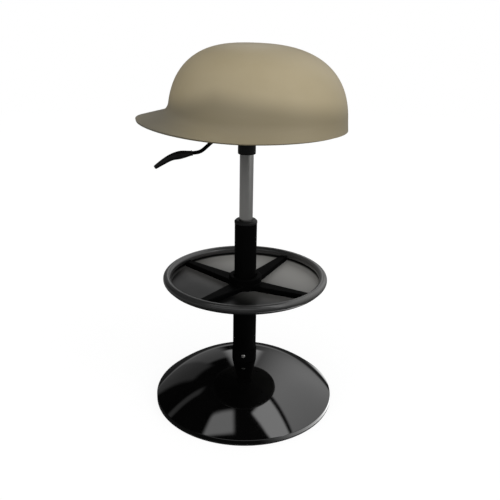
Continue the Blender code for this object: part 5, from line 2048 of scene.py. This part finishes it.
@dataclass
class Studio:
    """Floor, lamp, the light that gloss reflects, and the camera."""

    floor_radius: float = 5.0
    floor_gap: float = 0.0004
    floor_seen: float = 0.85
    floor_bounce: float = 0.10
    floor_glow: float = 1.145
    floor_glow_share: float = 0.75
    floor_reflected_glow: tuple[float, float] = (0.02, 2.0)
    floor_bright_side: Vector = field(default_factory=lambda: Vector((0.95, -0.3, 0)))
    floor_bright_reach: tuple[float, float] = (0.10, 0.24)
    floor_bright_round: tuple[float, float] = (0.32, 0.24)
    floor_far_round: tuple[float, float] = (0.5, 1.3)
    floor_far_reflected_glow: float = 0.2
    sky_way: Vector = field(default_factory=lambda: Vector((-0.22, -0.85, 0.22)))
    sky: tuple[float, float] = (0.16, 1.36)
    sky_power: float = 2.5
    back_way: Vector = field(default_factory=lambda: Vector((0.10, 0.97, 0.02)))
    back_sky: float = 0.75
    back_power: float = 6.0
    matt_share: float = 0.08
    dark: float = 0.004
    key_way: Vector = field(default_factory=lambda: Vector((0.80, -0.55, 0.22)))
    key_distance: float = 3.0
    key_size: float = 2.2
    key_power: float = 28.0
    target: Vector = field(default_factory=lambda: Vector((0, 0, 0.45)))
    camera_place: Vector = field(default_factory=lambda: Vector((0.0121, -1.3467, 0.8699)))
    camera_pitch: float = math.radians(20.275)
    camera_roll: float = math.radians(0.934)
    camera_sensor: float = 36.0
    camera_lens: float = 45.67
    camera_shift: float = -0.0018
    softboxes: tuple[Softbox, ...] = (
        Softbox(((0.0719, -0.0213, 0, 0), (0.674, 0.739, -0.445, 0)), (0.44, 1.45), 0.06),
        Softbox(
            ((0.816, -0.578, -0.21, 0), (0.68, 0.73, 0.043, 0), (-0.674, -0.739, 0.355, 0)),
            (2.0, 2.0), 0.06,
        ),
        Softbox(
            ((0.769, -0.641, 0.30, 0), (-1, 0, -0.15, 0), (0, 1, 0.47, 0), (0, -1, -0.13, 0)),
            (1.3, 1.3), 0.09,
        ),
        Softbox.wall((-24, -9), (-12, 28), (0.155, 0.23), 0.08),
        Softbox.wall((-44, -24), (-12, 34), (0.10, 0.12), 0.1),
        Softbox.wall((-9, 7), (14, 43), (0.55, 0.95), 0.08),
        Softbox(
            ((-0.09, -0.932, 0.351, -0.045), (0.09, 0.932, -0.351, -0.045), (-1, 0, 0, 0.4),
             (0, 0, 1, 0.41), (0, 0, -1, -0.77)),
            (0.18, 0.18), 0.06,
        ),
        Softbox(((0.5, -0.87, 0, 0.1), (0, 0, 1, 0.27), (0, -0.643, -0.766, 0)), (0.7, 0.7), 0.3),
    )

    def floor(self) -> None:
        """A floor that is white to the camera and keeps the stool's shadow. To reflections it is dark, but
        for painted reflection: a patch near the base on the right that glows in them, and a faint glow far
        off.
        """
        Workshop.clear()
        bpy.ops.mesh.primitive_circle_add(
            vertices=128, radius=self.floor_radius, fill_type="NGON", location=(0, 0, -self.floor_gap)
        )
        floor = Workshop.adopt("floor")
        material = bpy.data.materials.new("pale_floor")
        material.use_nodes = True
        bench = ShaderBench(material.node_tree)
        rays = bench.add("ShaderNodeLightPath")
        plain = material.node_tree.nodes["Principled BSDF"]
        plain.inputs["Roughness"].default_value = 0.9
        tone = bench.spread(rays.outputs["Is Camera Ray"], self.floor_bounce, self.floor_seen)
        bench.join(tone, plain.inputs["Base Color"])

        spot = bench.place()
        length = bench.add("ShaderNodeVectorMath")
        length.operation = "LENGTH"
        bench.join(spot, length.inputs[0])
        # Painted reflection: a patch near the base on the right, and faintly the far floor, glow to glossy
        # rays only.
        side = bench.ramp(bench.along(spot, self.floor_bright_side), *self.floor_bright_reach)
        close = bench.ramp(length.outputs["Value"], *self.floor_bright_round)
        away = bench.ramp(length.outputs["Value"], *self.floor_far_round)
        lit = bench.spread(bench.maths("MULTIPLY", side, close), *self.floor_reflected_glow)
        mirrored = bench.maths("ADD", lit, bench.maths("MULTIPLY", away, self.floor_far_reflected_glow))

        glossy = bench.maths("MULTIPLY", rays.outputs["Is Glossy Ray"], mirrored)
        shown = bench.maths("MULTIPLY", rays.outputs["Is Camera Ray"], self.floor_glow)
        glow = bench.add("ShaderNodeEmission")
        bench.join(bench.maths("ADD", glossy, shown), glow.inputs["Strength"])
        partly = bench.maths("MULTIPLY", rays.outputs["Is Camera Ray"], self.floor_glow_share)
        blend = bench.add("ShaderNodeMixShader")
        bench.join(bench.maths("MAXIMUM", partly, rays.outputs["Is Glossy Ray"]), blend.inputs["Fac"])
        bench.join(plain.outputs["BSDF"], blend.inputs[1])
        bench.join(glow.outputs["Emission"], blend.inputs[2])
        output = material.node_tree.nodes["Material Output"]
        bench.join(blend.outputs["Shader"], output.inputs["Surface"])
        floor.data.materials.append(material)
        floor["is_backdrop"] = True

    def lamp(self) -> None:
        """The large soft key lamp, from the right and above."""
        Workshop.clear()
        way = self.key_way.normalized()
        bpy.ops.object.light_add(
            type="AREA",
            location=self.target + way * self.key_distance,
            rotation=way.to_track_quat("Z", "Y").to_euler(),
        )
        lamp = bpy.context.object
        lamp.name = "key_lamp"
        lamp.data.shape = "SQUARE"
        lamp.data.size = self.key_size
        lamp.data.energy = self.key_power
        lamp.visible_camera = False
        lamp.visible_glossy = False

    def panel(self, bench: ShaderBench, way: Socket, softbox: Softbox) -> Socket:
        """One softbox as the world's nodes paint it.

        Args:
            bench: The world's tree.
            way: The direction that is looked in.
            softbox: The panel.

        Returns:
            Its glow in that direction.
        """
        glow = bench.spread(bench.along(way, UP), *softbox.glow)
        for *axis, offset in softbox.edges:
            inside = bench.ramp(bench.along(way, axis), offset - softbox.blur / 2, offset + softbox.blur / 2)
            glow = bench.maths("MULTIPLY", inside, glow)
        return glow

    def lobe(self, bench: ShaderBench, way: Socket, axis: Vector, power: float) -> Socket:
        """A soft light that is strongest along one direction.

        Args:
            bench: The world's tree.
            way: The direction that is looked in.
            axis: Where the light is strongest.
            power: How fast it falls off.

        Returns:
            The light's share, from 0 to 1.
        """
        facing = bench.ramp(bench.along(way, axis.normalized()), -1.0, 1.0, "LINEAR")
        return bench.maths("POWER", facing, power)

    def world(self) -> None:
        """White to the camera, a soft sky to matt faces, and softboxes to gloss."""
        world = bpy.data.worlds.new("studio")
        bpy.context.scene.world = world
        world.use_nodes = True
        bench = ShaderBench(world.node_tree)
        way = bench.add("ShaderNodeTexCoord").outputs["Generated"]
        seen: Socket | float = self.dark
        for softbox in self.softboxes:
            seen = bench.maths("ADD", self.panel(bench, way, softbox), seen)
        front = bench.spread(self.lobe(bench, way, self.sky_way, self.sky_power), *self.sky)
        back = bench.maths("MULTIPLY", self.lobe(bench, way, self.back_way, self.back_power), self.back_sky)
        sky = bench.maths("ADD", front, back)

        rays = bench.add("ShaderNodeLightPath")
        matt = bench.maths("SUBTRACT", 1.0, rays.outputs["Is Glossy Ray"])
        glossy = bench.maths("MULTIPLY", seen, rays.outputs["Is Glossy Ray"])
        fill = bench.maths("ADD", sky, bench.maths("MULTIPLY", seen, self.matt_share))
        soft = bench.maths("MULTIPLY", matt, fill)
        lit = bench.maths("ADD", glossy, soft)
        shown = bench.maths("MAXIMUM", lit, rays.outputs["Is Camera Ray"])
        background = world.node_tree.nodes["Background"]
        bench.join(shown, background.inputs["Strength"])
        background.inputs["Color"].default_value = (1.0, 1.0, 1.0, 1.0)

    def camera(self) -> None:
        """The camera, where the photograph was taken from."""
        Workshop.clear()
        tilt = Matrix.Rotation(math.pi / 2 - self.camera_pitch, 4, "X")
        turn = tilt @ Matrix.Rotation(self.camera_roll, 4, "Z")
        bpy.ops.object.camera_add(location=self.camera_place, rotation=turn.to_euler())
        camera = bpy.context.object
        camera.data.sensor_width = self.camera_sensor
        camera.data.lens = self.camera_lens
        camera.data.shift_x = self.camera_shift
        bpy.context.scene.camera = camera

    def build(self) -> None:
        """Sets up the studio."""
        bpy.context.scene.view_settings.view_transform = "Standard"
        self.floor()
        self.lamp()
        self.world()
        self.camera()


def write_sizes() -> None:
    """Gathers the box of the solids and the box of the dressed stool, and keeps neither."""
    boxes = {"cad": CAD_BOX, "visual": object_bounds()}
    {name: [list(corner) for corner in box] for name, box in boxes.items()}


def main() -> None:
    """Builds the stool from the floor up, then the studio."""
    logging.basicConfig(level=logging.INFO, format="%(message)s")
    parts = [Base(), Column(), Footrest(), GasLift(), SeatCarrier(), ReleaseLever(), Seat(), Mechanism()]
    for part in parts:
        for piece in part.build():
            LOG.info("%s: %s, %d faces", type(part).__name__, piece.name, len(piece.data.polygons))
    Studio().build()
    write_sizes()


if __name__ == "__main__":
    main()
